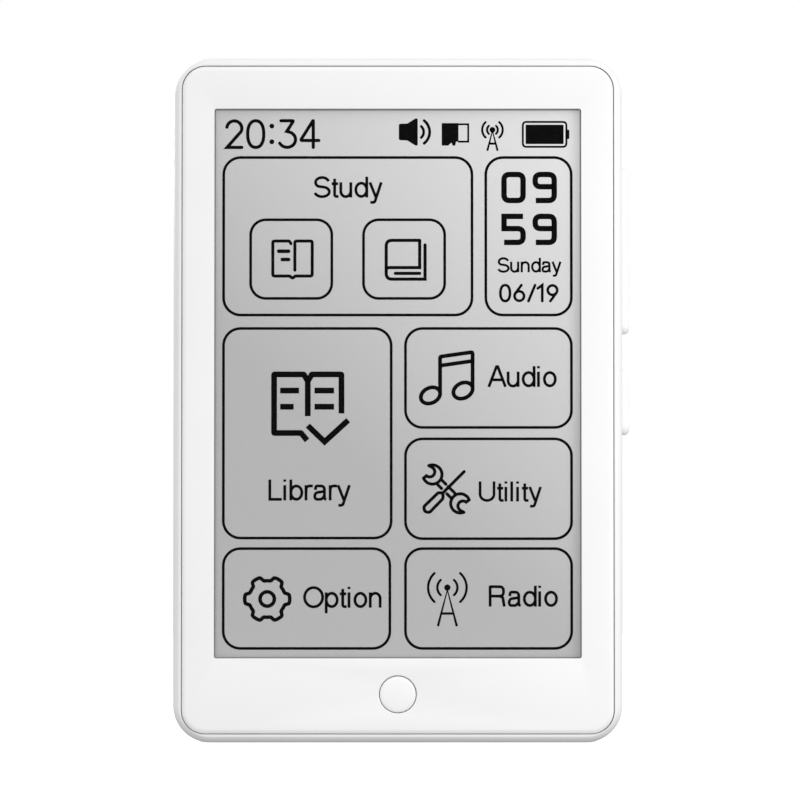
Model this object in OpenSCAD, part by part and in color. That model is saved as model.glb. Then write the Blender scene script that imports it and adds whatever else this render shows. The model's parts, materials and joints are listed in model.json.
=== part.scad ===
// Pocket e-reader with a home button, a volume rocker and a power key.
// It stands on its bottom edge: X to the right, Y from front to back, Z up.
// Inside each module the piece is drawn lying on its back, screen up, then stood up.

/* [Body] */
// Width of the body across the frame, without the side keys
body_w = 60.7; // [58:0.1:78]
// Height of the body, bottom edge to top edge
body_h = 92.6; // [88:0.1:115]
// Thickness from the panel face to the back face
body_t = 8.8; // [8.6:0.1:11]
// Corner radius of the outline seen from the front
corner_r = 5.0; // [4:0.1:7]
// Width of the curved band between the lip and the outline
band_w = 0.78; // [0.5:0.02:1.2]
// Radius of that curved band
band_r = 2.0; // [1.5:0.1:2.6]
// Radius of the rounding between the sides and the back
back_r = 1.6; // [1.0:0.1:1.8]
// Wall of the frame at the sides
wall = 1.2; // [0.9:0.05:1.6]

/* [Front panel] */
// Flat lip of the frame beside the panel
lip_w = 0.33; // [0.2:0.01:0.6]
// Gap of the seam around the panel
seam_gap = 0.18; // [0.1:0.01:0.3]
// Thickness of the panel
panel_t = 0.85; // [0.8:0.05:1.4]
// Height of the panel face over the lip
panel_proud = 0.15; // [0:0.01:0.3]
// Corner radius of the seam
seam_r = 3.2; // [2.4:0.1:4.2]
// Width of the rolled edge of the panel
roll_w = 0.65; // [0.3:0.05:1.0]
// Fall of that rolled edge
roll_drop = 0.25; // [0.1:0.01:0.4]
// Border of the body left and right of the window
side_border = 5.55; // [4.5:0.05:8]
// Border of the body over the window
top_border = 6.95; // [6.4:0.05:9]
// Border of the body under the window
foot_border = 11.35; // [11:0.05:15]
// Corner radius of the window
window_r = 0.3; // [0.15:0.05:1]

/* [Display] */
// How far the dark gasket shows inside the window edge
gasket_peek = 0.16; // [0.05:0.01:0.4]
// Width of the display border hidden beside the window
display_rim = 1.6; // [1.2:0.1:2.2]
// Width of the display border hidden under the window
display_foot = 1.5; // [1.0:0.1:1.8]
// Length of the bare glass ledge over the window
display_ledge = 3.55; // [3.0:0.05:4.5]
// Thickness of the gasket
gasket_t = 0.2; // [0.15:0.05:0.6]
// Thickness of the touch film
film_t = 0.15; // [0.1:0.05:0.4]
// Thickness of the display
display_t = 1.2; // [0.9:0.05:1.4]
// Thickness of the foam behind the display
foam_t = 0.5; // [0.2:0.05:0.6]
// Width of the display flex
flex_w = 14; // [10:1:16]

/* [Home button] */
// Radius of the home button
home_r = 2.44; // [2:0.02:2.6]
// Gap around the home button
home_gap = 0.1; // [0.05:0.01:0.2]
// Height of the button centre over the bottom edge
home_up = 6.5; // [6:0.1:8]
// Travel of the home button
home_travel = 0.25; // [0.15:0.01:0.35]
// Height of its crown over the panel
home_crown = 0.12; // [0:0.01:0.3]

/* [Side keys] */
// Length of the volume rocker
rocker_l = 22.6; // [16:0.1:28]
// Height of its middle over the bottom edge
rocker_up = 66.6; // [60:0.1:80]
// Length of the power key
power_l = 9.0; // [6:0.1:12]
// Height of its middle over the bottom edge
power_up = 46.1; // [42:0.1:50]
// Width of both keys, front to back
key_w = 2.4; // [1.8:0.1:2.8]
// How far the keys stand out of the side
key_out = 1.0; // [0.5:0.05:1.5]
// Rounding of the outer ends of the keys
key_round = 0.7; // [0.3:0.05:0.9]
// Gap around the keys, front and back
key_gap = 0.08; // [0.05:0.01:0.15]
// Gap at the ends of the keys
key_end_gap = 0.16; // [0.12:0.01:0.3]
// Distance of the two rocker feet from its middle
rocker_foot = 8.0; // [6:0.1:9]
// Travel of the power key
key_travel = 0.25; // [0.15:0.01:0.3]

/* [Ports] */
// Position of the charging port from the middle
usb_x = -14; // [-16:0.5:-12]
// Position of the headphone jack from the middle
jack_x = 17; // [15:0.5:19]
// Radius of the headphone bore
jack_r = 1.8; // [1.78:0.01:1.85]
// Depth of the headphone bore
jack_depth = 13.7; // [13:0.1:14.5]
// Height of the memory card over the bottom edge
card_up = 15.9; // [15:0.1:17]
// Gap between the memory card and its slot
card_gap = 0.15; // [0.1:0.01:0.25]

/* [Inside] */
// Thickness of the inner plate
chassis_t = 0.5; // [0.4:0.05:0.8]
// Width of the ledge that carries panel and plate
ledge_w = 1.95; // [1.6:0.05:2.2]
// Wall of the back cover
cover_t = 1.0; // [0.8:0.05:1.2]
// Thickness of the main board
board_t = 0.8; // [0.6:0.05:1.0]
// Height of the main board
board_h = 28.4; // [28:0.1:29]
// Height of the battery
battery_h = 43; // [30:1:44]
// Thickness of the battery
battery_t = 3.6; // [2.8:0.1:3.8]
// Shank radius of the small screws
screw_r = 0.45; // [0.4:0.01:0.5]

/* [Speaker] */
// Radius of the sound holes in the back cover
hole_r = 0.45; // [0.3:0.05:0.6]
// Spacing of the sound holes
hole_step = 1.8; // [1.5:0.1:2.2]
// Sound holes in a row
hole_cols = 7; // [4:1:8]
// Rows of sound holes
hole_rows = 3; // [2:1:4]

/* [Hidden] */
$fn = 64;
eps = 0.01;
face_z = body_t / 2;
lip_z = face_z - panel_proud;
back_z = -body_t / 2;
split_z = back_z + back_r;
panel_back = face_z - panel_t;
tape_t = 0.1;
ledge_front = panel_back - tape_t;
gasket_back = panel_back - gasket_t;
film_back = gasket_back - film_t;
display_back = film_back - display_t;
plate_front = display_back - foam_t;
plate_back = plate_front - chassis_t;
board_front = plate_back - 0.3;
board_back = board_front - board_t;
battery_back = board_front - battery_t;
cover_in = back_z + cover_t;
side_x = body_w / 2;
wall_x = side_x - wall;
recess_x = side_x - band_w - lip_w;
recess_in = band_w + lip_w;
panel_in = recess_in + seam_gap;
window_w = body_w - 2 * side_border;
window_h = body_h - top_border - foot_border;
window_y0 = foot_border;
window_y1 = body_h - top_border;
display_w = window_w + 2 * display_rim;
display_y0 = window_y0 - display_foot;
display_y1 = window_y1 + 1.2;
ledge_y1 = window_y1 + display_ledge;
ledge_t = 0.5;
flex_t = 0.12;
flex_x = -1;
flex_z = plate_back - 0.11;
flex_top_z = display_back + ledge_t + flex_t / 2;
flex_turn = (flex_top_z - flex_z) / 2;
flange_r = home_r + 0.66;
port_z = -0.6;
usb_w = 8.94;
usb_h = 3.26;
usb_l = 7.3;
jack_half = jack_r + 0.2;
jack_l = jack_depth + 0.3;
nose_r = jack_r + 0.2;
board_y0 = wall + 0.4;
board_y1 = board_y0 + board_h;
board_w = body_w - 7.1;
battery_y0 = board_y1 + 3.0;
battery_w = body_w - 14.7;
battery_x = -1.5;
battery_x1 = battery_x + battery_w / 2;
foot_x = wall_x - 1.15;
stem_tip_x = foot_x - 0.03;
switch_x1 = stem_tip_x - 0.57;
switch_x0 = switch_x1 - 1.0;
strip_x0 = switch_x0 - 0.4;
stem_r = 0.6;
pivot_x = switch_x0 + 0.65;
bracket_y0 = power_up - 6.5;
bracket_y1 = rocker_up + 12.5;
card_l = 15;
card_w = 11;
card_t = 0.75;
socket_x0 = -wall_x + 0.2;
socket_l = 14.95;
socket_h = 1.5;
card_z = board_back - 0.75;
spk_x = -14;
spk_y = body_h - 8.8;
spk_w = 16;
spk_l = 10.5;
spk_t = 3.0;
spk_back = cover_in + 0.5;
plate_gap = 0.25;
key_notch_x = strip_x0 - 0.05;
screw_x = side_x - 2.35;
screw_pts = [
    [-screw_x, 9], [screw_x, 9],
    [-screw_x, 34], [screw_x, 34],
    [-screw_x, body_h - 8.1], [screw_x, body_h - 8.1],
    [-20, body_h - 2.25], [20, body_h - 2.25]
];
board_x = board_w / 2;
board_pts = [
    [-board_x + 1.6, 4.2], [board_x - 1.6, 4.2], [9.8, board_y1 - 1.8]
];
clip_pts = [18, 46, 76];

// The sub-part to draw

front_panel();
panel_tape();
frame();
back_cover();
display_gasket();
touch_film();
display_glass();
display_driver();
display_flex();
display_foam();
chassis();
chassis_screws();
home_button();
home_stem();
home_switch();
power_button();
power_stem();
volume_rocker();
volume_stem_upper();
volume_stem_lower();
key_switches();
key_board();
key_bracket();
key_flex();
main_board();
board_screws();
processor();
memory_chip();
power_chip();
crystal();
chip_parts();
shield_can();
display_connector();
key_connector();
usb_shell();
usb_tongue();
headphone_jack();
jack_contacts();
card_socket();
memory_card();
battery_cell();
battery_board();
battery_leads();
battery_plug();
battery_tape();
speaker_frame();
speaker_cone();
speaker_magnet();
speaker_gasket();
speaker_mesh();
speaker_leads();
speaker_plug();
antenna();
antenna_cable();
antenna_plug();

// ---- shared shapes -----------------------------------------------------------

// Stands a lying piece up: its screen side turns to the front.
module stand() {
    rotate([90, 0, 0]) children();
}

// Box from its low corner to its high corner.
module box(a, b) {
    translate(a) cube(b - a);
}

// Upright rounded block: x0..x1, y0..y1, corner radius r, z0..z1.
module rblock(x0, x1, y0, y1, r, z0, z1) {
    box([x0 + r, y0, z0], [x1 - r, y1, z1]);
    box([x0, y0 + r, z0], [x1, y1 - r, z1]);
    for (x = [x0 + r, x1 - r], y = [y0 + r, y1 - r])
        translate([x, y, z0]) cylinder(r = r, h = z1 - z0);
}

// Rounded block centred left to right, set in by the same distance all round.
module inset_block(d, r, z0, z1) {
    rblock(-side_x + d, side_x - d, d, body_h - d, r, z0, z1);
}

// A profile (distance out from the corner centre, height) carried round the body.
module around(pts, d, r) {
    w = body_w - 2 * d;
    h = body_h - 2 * d;
    translate([0, body_h / 2, 0]) {
        for (i = [0 : 3]) {
            sx = (i == 0 || i == 3) ? 1 : -1;
            sy = (i < 2) ? 1 : -1;
            translate([sx * (w / 2 - r), sy * (h / 2 - r), 0])
                rotate([0, 0, 90 * i])
                    rotate_extrude(angle = 90) polygon(pts);
        }
        for (i = [0 : 3]) {
            l = (i % 2 == 0) ? h - 2 * r : w - 2 * r;
            o = (i % 2 == 0) ? w / 2 - r : h / 2 - r;
            rotate([0, 0, 90 * i])
                translate([o, l / 2, 0])
                    rotate([90, 0, 0]) linear_extrude(l) polygon(pts);
        }
    }
}

// The same profile with the space inside it filled from z0 to z1.
module solid_around(pts, d, r, z0, z1) {
    around(pts, d, r);
    box([-side_x + d + r - eps, d + r - eps, z0], [side_x - d - r + eps, body_h - d - r + eps, z1]);
}

// A flat outline in the side plane (height along the body, depth) made x0..x1 wide.
module across(x0, x1) {
    translate([x0, 0, 0]) rotate([90, 0, 90]) linear_extrude(x1 - x0) children();
}

// Pill-shaped bar along X: length along Y, width front to back.
module pill(x0, x1, y, l, w) {
    r = w / 2;
    box([x0, y - l / 2 + r, -r], [x1, y + l / 2 - r, r]);
    for (s = [-1, 1])
        translate([x0, y + s * (l / 2 - r), 0])
            rotate([0, 90, 0]) cylinder(r = r, h = x1 - x0);
}

// Straight wire from a to b, both at the same x.
module wire_y(x, y0, y1, z, r) {
    translate([x, y0, z]) rotate([-90, 0, 0]) cylinder(r = r, h = y1 - y0);
}

function side_dir(a, b) = let (d = b - a, l = norm(d)) [-d[1] / l, d[0] / l];

function mitre(p, i) = let (
    n = len(p) - 1,
    a = side_dir(p[max(i - 1, 0)], p[max(i, 1)]),
    b = side_dir(p[min(i, n - 1)], p[min(i + 1, n)]),
    m = a + b
) m * 2 / (m * m);

// Outline of a strip of thickness t along a bent line.
function strip(p, t) = concat(
    [for (i = [0 : len(p) - 1]) p[i] + mitre(p, i) * t / 2],
    [for (i = [len(p) - 1 : -1 : 0]) p[i] - mitre(p, i) * t / 2]
);

// Points of an arc about c.
function arc(c, r, a0, a1, n) = [
    for (i = [0 : n]) c + r * [cos(a0 + (a1 - a0) * i / n), sin(a0 + (a1 - a0) * i / n)]
];

// ---- outer pieces --------------------------------------------------------------

// Outside of the frame: flat lip, curved band, straight side.
band_a = acos((band_r - band_w) / band_r);
band_c = [corner_r - band_r, lip_z - band_r * sin(band_a)];
frame_profile = concat(
    [[0, split_z], [corner_r, split_z]],
    arc(band_c, band_r, 0, band_a, 8),
    [[0, lip_z]]
);

// Outside of the back cover: quarter round into the flat back.
cover_c = [corner_r - back_r, back_z + back_r];
cover_profile = concat(
    [[0, back_z]],
    arc(cover_c, back_r, -90, 0, 10),
    [[0, split_z]]
);

// Rolled edge of the panel.
panel_r = seam_r - seam_gap / 2;
roll_r = (roll_w * roll_w + roll_drop * roll_drop) / (2 * roll_drop);
roll_a = asin(roll_w / roll_r);
roll_c = [panel_r - roll_w, face_z - roll_r];
panel_profile = concat(
    [[0, panel_back], [panel_r, panel_back]],
    arc(roll_c, roll_r, 90 - roll_a, 90, 6),
    [[0, face_z]]
);

// White front panel with the window and the hole of the home button.
module front_panel() {
    color("#f4f4f2") stand() difference() {
        solid_around(panel_profile, panel_in, panel_r, panel_back, face_z);
        rblock(-window_w / 2, window_w / 2, window_y0, window_y1, window_r, panel_back - 1, face_z + 1);
        translate([0, home_up, panel_back - 1]) cylinder(r = home_r + home_gap, h = panel_t + 2);
    }
}

// Adhesive strip between the panel and the ledge of the frame.
module panel_tape() {
    color("#2a2a2c") stand() difference() {
        inset_block(panel_in + 0.2, panel_r - 0.2, ledge_front, panel_back);
        inset_block(wall + ledge_w - 0.15, 1.4, ledge_front - 1, panel_back + 1);
        box([flex_x - 10, body_h - 4, ledge_front - 1], [flex_x + 10, body_h, panel_back + 1]);
    }
}

// Outer frame with its ledge, key slots and port holes.
module frame() {
    color("#ececea") stand() difference() {
        solid_around(frame_profile, 0, corner_r, split_z, lip_z);
        inset_block(recess_in, seam_r, ledge_front, lip_z + 1);
        inset_block(wall + ledge_w, 1.2, plate_front - 1, ledge_front + 1);
        inset_block(wall, corner_r - wall, split_z - 1, plate_front);
        box([flex_x - flex_w / 2 - 0.6, body_h - 4, plate_front - 1],
            [flex_x + flex_w / 2 + 0.6, body_h - 1.3, ledge_front - 0.4]);
        pill(wall_x - 3, side_x + 2, rocker_up, rocker_l + 2 * key_end_gap, key_w + 2 * key_gap);
        pill(wall_x - 3, side_x + 2, power_up, power_l + 2 * key_end_gap, key_w + 2 * key_gap);
        box([-side_x - 1, card_up - card_w / 2 - card_gap, card_z - card_t / 2 - card_gap],
            [-wall_x + 1, card_up + card_w / 2 + card_gap, card_z + card_t / 2 + card_gap]);
        usb_bar(usb_w + 0.2, usb_h + 0.2, -1, wall + 0.5);
        wire_y(jack_x, -1, wall + 0.5, port_z, nose_r + 0.06);
        for (p = screw_pts)
            translate([p[0], p[1], plate_front - 1]) cylinder(r = screw_r + 0.05, h = 2.3);
        for (s = [-1, 1], y = clip_pts)
            box([s * wall_x - 0.5, y - 1.7, split_z + 0.5], [s * wall_x + 0.5, y + 1.7, split_z + 1.3]);
    }
}

// Rounded back cover with its locating rim, clips and sound holes.
module back_cover() {
    rim_top = split_z + 1.2;
    color("#ececea") stand() difference() {
        union() {
            difference() {
                solid_around(cover_profile, 0, corner_r, back_z, split_z);
                inset_block(wall + 0.9, corner_r - wall - 0.9, cover_in, split_z + 1);
            }
            difference() {
                inset_block(wall + 0.12, corner_r - wall - 0.12, cover_in, rim_top);
                inset_block(wall + 0.9, corner_r - wall - 0.9, cover_in - 1, rim_top + 1);
            }
            for (s = [-1, 1], y = clip_pts)
                box([s * (wall_x + 0.02) - 0.35, y - 1.5, split_z + 0.6],
                    [s * (wall_x + 0.02) + 0.35, y + 1.5, split_z + 1.1]);
        }
        box([usb_x - 5.2, 0.5, split_z + eps], [usb_x + 5.2, 3.5, rim_top + 1]);
        box([jack_x - 3, 0.5, split_z + eps], [jack_x + 3, 3.5, rim_top + 1]);
        for (i = [0 : hole_cols - 1], j = [0 : hole_rows - 1])
            translate([spk_x + (i - (hole_cols - 1) / 2) * hole_step,
                       spk_y + (j - (hole_rows - 1) / 2) * hole_step, back_z - 1])
                cylinder(r = hole_r, h = cover_t + 2);
    }
}

// ---- display stack ---------------------------------------------------------------

// Black gasket that shows as a thin line inside the window edge.
module display_gasket() {
    color("#2b2b2d") stand() difference() {
        box([-display_w / 2, display_y0, gasket_back], [display_w / 2, display_y1, panel_back]);
        box([-window_w / 2 + gasket_peek, window_y0 + gasket_peek, gasket_back - 1],
            [window_w / 2 - gasket_peek, window_y1 - gasket_peek, panel_back + 1]);
    }
}

// Clear touch film on the display.
module touch_film() {
    color("#dfe4e6") stand()
        box([-display_w / 2, display_y0, film_back], [display_w / 2, display_y1, gasket_back]);
}

// Electronic-paper display with its thinner glass ledge at the top.
module display_glass() {
    color("#c9cbca") stand() {
        box([-display_w / 2, display_y0, display_back], [display_w / 2, display_y1, film_back]);
        box([-display_w / 2, display_y1 - eps, display_back],
            [display_w / 2, ledge_y1, display_back + ledge_t]);
    }
}

// Driver chip bonded to the glass ledge.
module display_driver() {
    color("#3a3c40") stand()
        box([flex_x - 9, display_y1 + 0.2, display_back + ledge_t],
            [flex_x + 9, display_y1 + 1.1, display_back + ledge_t + 0.3]);
}

flex_line = concat(
    [[ledge_y1 - 1.1, flex_top_z]],
    arc([ledge_y1 + 0.06, flex_z + flex_turn], flex_turn, 90, -90, 12),
    [[board_y1 + 2.6, flex_z], [board_y1 + 0.35, board_back - 0.5], [board_y1 - 0.7, board_back - 0.5]]
);

// Flex from the glass ledge, over the top of the plate and down to the main board.
module display_flex() {
    color("#b8752c") stand()
        across(flex_x - flex_w / 2, flex_x + flex_w / 2) polygon(strip(flex_line, flex_t));
}

// Foam behind the display.
module display_foam() {
    color("#4a4a4d") stand()
        box([-display_w / 2 + 0.3, display_y0 + 0.3, plate_front],
            [display_w / 2 - 0.3, display_y1, display_back]);
}

// ---- inner plate -------------------------------------------------------------------

// Metal plate that carries the display on one side and board and battery on the other.
module chassis() {
    color("#9fa3a8") stand() difference() {
        union() {
            inset_block(wall + plate_gap, corner_r - wall - plate_gap, plate_back, plate_front);
            for (p = board_pts)
                translate([p[0], p[1], board_front]) cylinder(r = 1.4, h = 0.3 + eps);
        }
        box([-2.9, home_up - 2.9, plate_back - 1], [2.9, home_up + 2.9, plate_front + 1]);
        box([jack_x - jack_half - 0.6, 0, plate_back - 1],
            [jack_x + jack_half + 0.6, wall + jack_l + 0.6, plate_front + 1]);
        box([usb_x - usb_w / 2 - 0.4, 0, plate_back - 1],
            [usb_x + usb_w / 2 + 0.4, usb_l + 0.8, plate_front + 1]);
        box([key_notch_x, bracket_y0 - 0.5, plate_back - 1], [side_x, bracket_y1 + 0.5, plate_front + 1]);
        box([flex_x - flex_w / 2 - 0.6, ledge_y1 - 1.0, plate_back - 1],
            [flex_x + flex_w / 2 + 0.6, body_h, plate_front + 1]);
        for (p = screw_pts)
            translate([p[0], p[1], plate_back - 1]) cylinder(r = screw_r + 0.1, h = chassis_t + 2);
        for (p = board_pts)
            translate([p[0], p[1], board_front - 1]) cylinder(r = screw_r + 0.05, h = 3);
    }
}

// One small screw, head toward the back.
module small_screw(seat, shank, head_r, head_h) {
    difference() {
        translate([0, 0, seat - head_h]) cylinder(r = head_r, h = head_h);
        box([-0.55, -0.12, seat - head_h - 1], [0.55, 0.12, seat - head_h + 0.25]);
        box([-0.12, -0.55, seat - head_h - 1], [0.12, 0.55, seat - head_h + 0.25]);
    }
    translate([0, 0, seat - eps]) cylinder(r = screw_r, h = shank + eps);
}

// Screws that hold the plate to the ledge of the frame.
module chassis_screws() {
    color("#7d8085") stand()
        for (p = screw_pts)
            translate([p[0], p[1], 0]) small_screw(plate_back, 1.7, 0.88, 0.5);
}

// ---- home button ---------------------------------------------------------------------

crown_r = (home_r * home_r + home_crown * home_crown) / (2 * home_crown);
home_profile = concat(
    [[0, gasket_back - 0.25], [1.2, gasket_back - 0.25], [1.2, gasket_back - 0.05]],
    [[flange_r, gasket_back - 0.05], [flange_r, panel_back - 0.05], [home_r, panel_back - 0.05]],
    [[home_r, face_z - 0.02]],
    arc([0, face_z - 0.02 + home_crown - crown_r], crown_r, 90 - asin((home_r - 0.08) / crown_r), 90, 8)
);

// Crowned home button with a flange behind the panel.
module home_button() {
    color("#f7f7f6") stand()
        translate([0, home_up, 0]) rotate_extrude() polygon(home_profile);
}

home_tip = gasket_back - 0.28;

// Stem of the home switch.
module home_stem() {
    color("#333538") stand()
        translate([0, home_up, home_tip - 0.85]) cylinder(r = 0.8, h = 0.85);
}

// Body of the home switch on the main board.
module home_switch() {
    color("#8d9094") stand() difference() {
        box([-2.2, home_up - 2.2, board_front], [2.2, home_up + 2.2, home_tip - 0.5]);
        translate([0, home_up, home_tip - 1.2]) cylinder(r = 0.86, h = 2);
    }
}

// ---- side keys --------------------------------------------------------------------------

// Outer bar of a side key, its outer corners rounded.
module key_bar(y, l, x0) {
    intersection() {
        pill(x0, side_x + key_out, y, l, key_w);
        union()
            rblock(x0 - 2, side_x + key_out, y - l / 2, y + l / 2, key_round, -key_w, key_w);
    }
}

// Power key with its inner flange and foot.
module power_button() {
    color("#f0f0ee") stand() {
        key_bar(power_up, power_l, wall_x - 0.3);
        box([wall_x - 0.6, power_up - power_l / 2 - 0.7, -0.9],
            [wall_x - 0.1, power_up + power_l / 2 + 0.7, 0.9]);
        box([foot_x, power_up - 1, -0.9], [wall_x - 0.55, power_up + 1, 0.9]);
    }
}

// Volume rocker with its inner flange, two feet and a pivot rib.
module volume_rocker() {
    color("#f0f0ee") stand() {
        key_bar(rocker_up, rocker_l, wall_x - 0.6);
        box([wall_x - 0.9, rocker_up - rocker_l / 2 - 0.8, -0.9],
            [wall_x - 0.4, rocker_up + rocker_l / 2 + 0.8, 0.9]);
        for (s = [-1, 1])
            box([foot_x, rocker_up + s * rocker_foot - 0.7, -0.9],
                [wall_x - 0.85, rocker_up + s * rocker_foot + 0.7, 0.9]);
        box([pivot_x, rocker_up - 0.6, -0.9], [wall_x - 0.85, rocker_up + 0.6, 0.9]);
        translate([pivot_x, rocker_up, -0.9]) cylinder(r = 0.6, h = 1.8);
    }
}

// Round stem of a side switch.
module key_stem(y) {
    translate([switch_x1 - 0.5, y, 0])
        rotate([0, 90, 0]) cylinder(r = stem_r, h = stem_tip_x - switch_x1 + 0.5);
}

// Stem behind the power key.
module power_stem() {
    color("#333538") stand() key_stem(power_up);
}

// Stem behind the upper end of the rocker.
module volume_stem_upper() {
    color("#333538") stand() key_stem(rocker_up + rocker_foot);
}

// Stem behind the lower end of the rocker.
module volume_stem_lower() {
    color("#333538") stand() key_stem(rocker_up - rocker_foot);
}

// Bodies of the three side switches.
module key_switches() {
    color("#8d9094") stand()
        for (y = [power_up, rocker_up - rocker_foot, rocker_up + rocker_foot])
            difference() {
                box([switch_x0, y - 1.7, -1.2], [switch_x1, y + 1.7, 1.2]);
                translate([switch_x1 - 0.8, y, 0]) rotate([0, 90, 0]) cylinder(r = stem_r + 0.06, h = 2);
            }
}

// Narrow board that carries the side switches.
module key_board() {
    color("#2f6b4a") stand()
        box([strip_x0, bracket_y0, -1.3], [switch_x0, bracket_y1, 1.3]);
}

// Steel bracket that holds the narrow board to the plate.
module key_bracket() {
    color("#a9adb2") stand() {
        box([strip_x0 - 0.3, bracket_y0, -1.3], [strip_x0, bracket_y1, plate_back]);
        box([strip_x0 - 2.4, bracket_y0 + 3, plate_back - 0.3],
            [strip_x0 - 0.3 + eps, bracket_y0 + 10, plate_back]);
        box([strip_x0 - 2.4, bracket_y1 - 10, plate_back - 0.3],
            [strip_x0 - 0.3 + eps, bracket_y1 - 3, plate_back]);
    }
}

// Flex from the narrow board down to the main board.
module key_flex() {
    color("#b8752c") stand()
        box([strip_x0 + 0.1, board_y1 - 1.4, board_back - 1.2],
            [strip_x0 + 0.22, bracket_y0, board_back - 0.2]);
}

// ---- main board ----------------------------------------------------------------------------

// Main board with cut-outs for the ports.
module main_board() {
    color("#2f6b4a") stand() difference() {
        box([-board_x, board_y0, board_back], [board_x, board_y1, board_front]);
        box([usb_x - usb_w / 2 - 0.1, 0, board_back - 1],
            [usb_x + usb_w / 2 + 0.1, usb_l + 0.6, board_front + 1]);
        box([jack_x - jack_half - 0.1, 0, board_back - 1],
            [jack_x + jack_half + 0.1, wall + jack_l + 0.15, board_front + 1]);
        for (p = board_pts)
            translate([p[0], p[1], board_back - 1]) cylinder(r = screw_r + 0.15, h = board_t + 2);
    }
}

// Screws of the main board.
module board_screws() {
    color("#7d8085") stand()
        for (p = board_pts)
            translate([p[0], p[1], 0]) small_screw(board_back, board_t + 0.6, 1.1, 0.55);
}

// Processor under the shield.
module processor() {
    color("#26282b") stand()
        box([-8.2, 11.5, board_back - 1.0], [1.8, 21.5, board_back]);
}

// Memory chip under the shield.
module memory_chip() {
    color("#2b2d30") stand()
        box([3.2, 11.5, board_back - 0.9], [9.8, 20.5, board_back]);
}

// Power chip beside the shield.
module power_chip() {
    color("#26282b") stand()
        box([20.6, 18.5, board_back - 0.8], [24.6, 22.5, board_back]);
}

// Crystal in its metal can.
module crystal() {
    color("#c0c2c4") stand()
        box([14.6, 18.5, board_back - 0.7], [17.8, 21.0, board_back]);
}

// Small capacitors and coils in rows.
module chip_parts() {
    color("#b39b72") stand() {
        for (i = [0 : 5])
            box([13.4 + 1.9 * i, 23.7, board_back - 0.5], [14.4 + 1.9 * i, 24.3, board_back]);
        for (i = [0 : 4])
            box([21.6, 6.4 + 2.1 * i, board_back - 0.5], [22.6, 7.0 + 2.1 * i, board_back]);
        for (i = [0 : 3])
            box([-6.6 + 2.4 * i, 3.2, board_back - 0.6], [-5.4 + 2.4 * i, 4.0, board_back]);
        box([4.4, 5.4, board_back - 1.1], [7.4, 8.0, board_back]);
    }
}

// Sheet-metal shield over processor and memory.
module shield_can() {
    color("#b9bcc0") stand() difference() {
        box([-10.6, 9.4, board_back - 1.5], [11.4, 23.4, board_back]);
        box([-10.4, 9.6, board_back - 1.3], [11.2, 23.2, board_back + 1]);
    }
}

// Connector of the display flex.
module display_connector() {
    color("#d8d3c6") stand()
        box([flex_x - flex_w / 2 - 0.8, board_y1 - 3.4, board_back - 1.0],
            [flex_x + flex_w / 2 + 0.8, board_y1 - 0.7, board_back]);
}

// Connector of the side-key flex.
module key_connector() {
    color("#d8d3c6") stand()
        box([board_x - 2.2, board_y1 - 3.6, board_back - 1.4], [board_x, board_y1 - 1.4, board_back]);
}

// ---- ports ------------------------------------------------------------------------------------

// Flattened round bar of the charging port.
module usb_bar(w, h, y0, y1) {
    r = h / 2;
    box([usb_x - w / 2 + r, y0, port_z - r], [usb_x + w / 2 - r, y1, port_z + r]);
    for (s = [-1, 1])
        wire_y(usb_x + s * (w / 2 - r), y0, y1, port_z, r);
}

// Steel shell of the charging port.
module usb_shell() {
    color("#b4b7ba") stand() difference() {
        usb_bar(usb_w, usb_h, 0.35, 0.35 + usb_l);
        usb_bar(usb_w - 0.6, usb_h - 0.7, 0, usb_l - 0.3);
    }
}

// Plastic tongue with its contact rows inside the charging port.
module usb_tongue() {
    color("#1f2022") stand() {
        box([usb_x - 3.3, 0.95, port_z - 0.35], [usb_x + 3.3, usb_l - 0.3, port_z + 0.35]);
        for (i = [-5 : 5], s = [-1, 1])
            box([usb_x + i * 0.5 - 0.12, 1.3, port_z + s * 0.38 - 0.06],
                [usb_x + i * 0.5 + 0.12, 5.2, port_z + s * 0.38 + 0.06]);
        box([usb_x - 3.6, usb_l - 1.3, port_z - 1.0], [usb_x + 3.6, usb_l - 0.3, port_z + 1.0]);
    }
}

// Headphone jack: a block with a round nose through the frame, and one bore through both.
module headphone_jack() {
    color("#1f2022") stand() difference() {
        union() {
            box([jack_x - jack_half, wall + 0.05, port_z - jack_half],
                [jack_x + jack_half, wall + 0.05 + jack_l, port_z + jack_half]);
            wire_y(jack_x, 0.15, wall + 0.5, port_z, nose_r);
        }
        wire_y(jack_x, 0, wall + 0.05 + jack_depth, port_z, jack_r);
    }
}

// Solder tabs of the headphone jack, standing on the board.
module jack_contacts() {
    color("#c9b037") stand()
        for (y = [4.0, 8.5, 13.0], s = [-1, 1])
            box([jack_x + s * (jack_half + 0.55) - 0.55, y - 0.5, board_back - 0.3],
                [jack_x + s * (jack_half + 0.55) + 0.55, y + 0.5, board_back]);
}

// Metal socket of the memory card, open toward the side.
module card_socket() {
    color("#b4b7ba") stand() difference() {
        box([socket_x0, card_up - 6.8, board_back - socket_h],
            [socket_x0 + socket_l, card_up + 6.8, board_back]);
        box([socket_x0 - 1, card_up - card_w / 2 - card_gap, card_z - card_t / 2 - 0.1],
            [socket_x0 + socket_l - 0.6, card_up + card_w / 2 + card_gap, card_z + card_t / 2 + 0.1]);
    }
}

// Removable memory card.
module memory_card() {
    x0 = -side_x + 0.12;
    color("#2a2b2e") stand() difference() {
        box([x0, card_up - card_w / 2, card_z - card_t / 2],
            [x0 + card_l, card_up + card_w / 2, card_z + card_t / 2]);
        box([x0 + card_l - 6.4, card_up + card_w / 2 - 1.3, card_z - 1],
            [x0 + card_l + 1, card_up + card_w, card_z + 1]);
    }
}

// ---- battery ------------------------------------------------------------------------------------

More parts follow.
